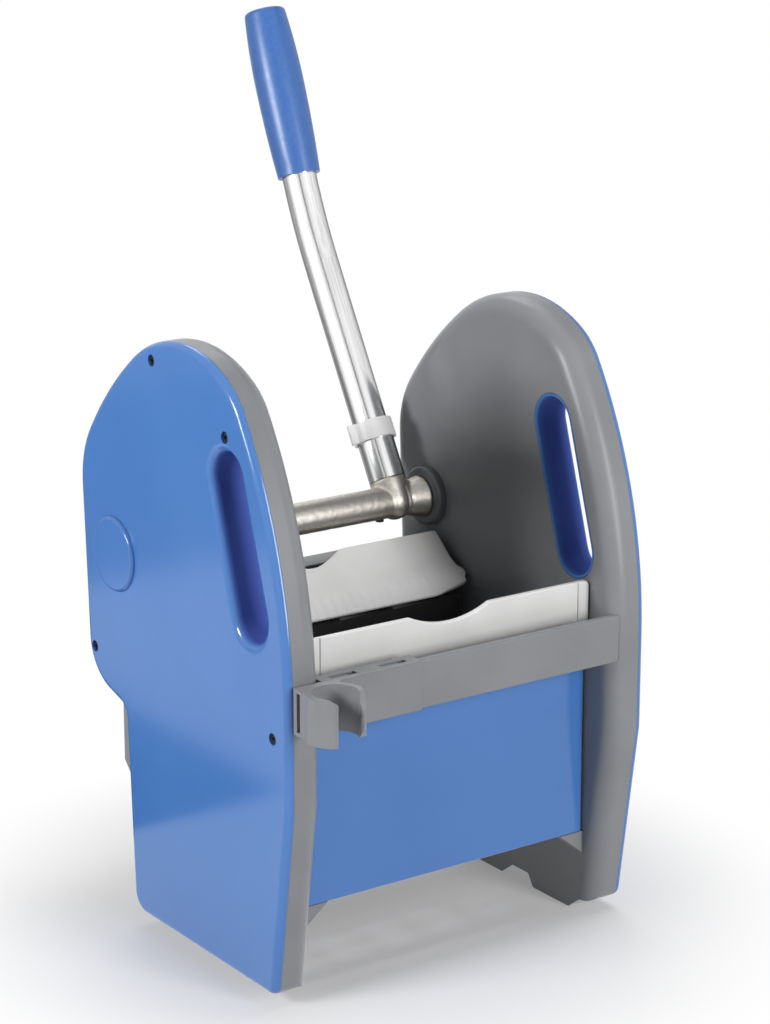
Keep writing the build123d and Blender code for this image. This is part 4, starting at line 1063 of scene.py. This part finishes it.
screws_apart_mm = 12
head_axis_share = 0.2
head_rim_share = 0.9
head_facets = 40
head_smooth_angle = 32
head_dome_steps = 2
head_dome_share = 0.45
head_top_share = 0.62
recess_length_share = 1.15
recess_width_share = 0.3
recess_depth_share = 0.75
recess_floor_share = 0.7
head_turn = 28
screw_places = {"right": [], "left": []}
for side, places in screw_places.items():
    for vertex in nodes[f"{side}_cover_screws"].data.vertices:
        near = [
            points
            for points in places
            if math.hypot(vertex.co.y - points[0].y, vertex.co.z - points[0].z) < screws_apart_mm / 1000
        ]
        if near:
            near[0].append(vertex.co.copy())
        else:
            places.append([vertex.co.copy()])
head_points = screw_places["right"][0]
head_x = max(p.x for p in head_points)
screw_end_x = min(p.x for p in head_points)
screw_y = middle([p.y for p in head_points])
screw_z = middle([p.z for p in head_points])
radii = [math.hypot(p.y - screw_y, p.z - screw_z) for p in head_points]
head_radius = max(radii)
shank_radius = min(r for r in radii if r > head_radius * head_axis_share)
seat_x = min(p.x for p, r in zip(head_points, radii) if r > head_radius * head_rim_share)
head_height = head_x - seat_x
shank_length = seat_x - screw_end_x
bpy.ops.object.select_all(action="DESELECT")
bpy.ops.mesh.primitive_cylinder_add(
    vertices=head_facets,
    radius=head_radius,
    depth=head_height * (1 - head_dome_share),
    location=(0, 0, head_height * (1 - head_dome_share) / 2),
)
screw = bpy.context.object
bpy.ops.object.transform_apply(location=True)


def select_end(piece, upwards):
    """Enters edit mode with only the flat faces at the piece's upper or lower end selected."""
    flat_normal = 0.9
    bpy.ops.object.mode_set(mode="EDIT")
    bpy.ops.mesh.select_mode(type="FACE")
    bpy.ops.mesh.select_all(action="DESELECT")
    bpy.ops.object.mode_set(mode="OBJECT")
    end_z = max(v.co.z * upwards for v in piece.data.vertices)
    for face in piece.data.polygons:
        at_end = face.center.z * upwards > end_z - merge_mm / 1000
        face.select = at_end and face.normal.z * upwards > flat_normal
    bpy.ops.object.mode_set(mode="EDIT")


select_end(screw, 1)
for dome_step in range(head_dome_steps):
    dome_size = 1 - (1 - head_top_share) * ((dome_step + 1) / head_dome_steps) ** 2
    last_size = 1 - (1 - head_top_share) * (dome_step / head_dome_steps) ** 2
    bpy.ops.mesh.extrude_region_move(
        TRANSFORM_OT_translate={"value": (0, 0, head_height * head_dome_share / head_dome_steps)}
    )
    bpy.ops.transform.resize(value=(dome_size / last_size, dome_size / last_size, 1))
bpy.ops.object.mode_set(mode="OBJECT")
select_end(screw, -1)
bpy.ops.mesh.inset(thickness=head_radius - shank_radius)
bpy.ops.mesh.extrude_region_move(TRANSFORM_OT_translate={"value": (0, 0, -shank_length)})
bpy.ops.object.mode_set(mode="OBJECT")
for bar_turn in (0, 90):
    bpy.ops.object.select_all(action="DESELECT")
    bpy.ops.mesh.primitive_cube_add(size=1, location=(0, 0, head_height))
    recess_bar = bpy.context.object
    recess_bar.scale = (
        head_radius * recess_length_share,
        head_radius * recess_width_share,
        2 * head_height * recess_depth_share,
    )
    recess_bar.rotation_euler = (0, 0, math.radians(bar_turn))
    bpy.ops.object.transform_apply(location=True, rotation=True, scale=True)
    select_end(recess_bar, -1)
    bpy.ops.transform.resize(value=(recess_floor_share, recess_floor_share, 1))
    bpy.ops.object.mode_set(mode="OBJECT")
    bpy.ops.object.select_all(action="DESELECT")
    screw.select_set(True)
    bpy.context.view_layer.objects.active = screw
    recess = screw.modifiers.new("cross_recess", "BOOLEAN")
    recess.operation = "DIFFERENCE"
    recess.solver = "EXACT"
    recess.object = recess_bar
    bpy.ops.object.modifier_apply(modifier=recess.name)
    bpy.data.objects.remove(recess_bar)
bpy.ops.object.shade_smooth_by_angle(angle=math.radians(head_smooth_angle))
screw.data.materials.append(black_steel)
for side, outwards in (("right", 1), ("left", -1)):
    copies = []
    for number, points in enumerate(screw_places[side]):
        seat = Vector((outwards * seat_x, middle([p.y for p in points]), middle([p.z for p in points])))
        copy = bpy.data.objects.new(f"{side}_cover_screw_{number + 1}", screw.data.copy())
        bpy.context.scene.collection.objects.link(copy)
        copy.data.transform(
            Matrix.Translation(seat)
            @ Matrix.Rotation(math.radians(90 * outwards), 4, "Y")
            @ Matrix.Rotation(math.radians(head_turn * (number + 1)), 4, "Z")
        )
        copies.append(copy)
    bpy.ops.object.select_all(action="DESELECT")
    for copy in copies:
        copy.select_set(True)
    bpy.context.view_layer.objects.active = copies[0]
    bpy.ops.object.join()
    screw_set = bpy.context.object
    screw_set.name = f"{side}_cover_screw_set"
    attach(screw_set, "frame")
    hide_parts(f"{side}_cover_screws")
bpy.data.objects.remove(screw)
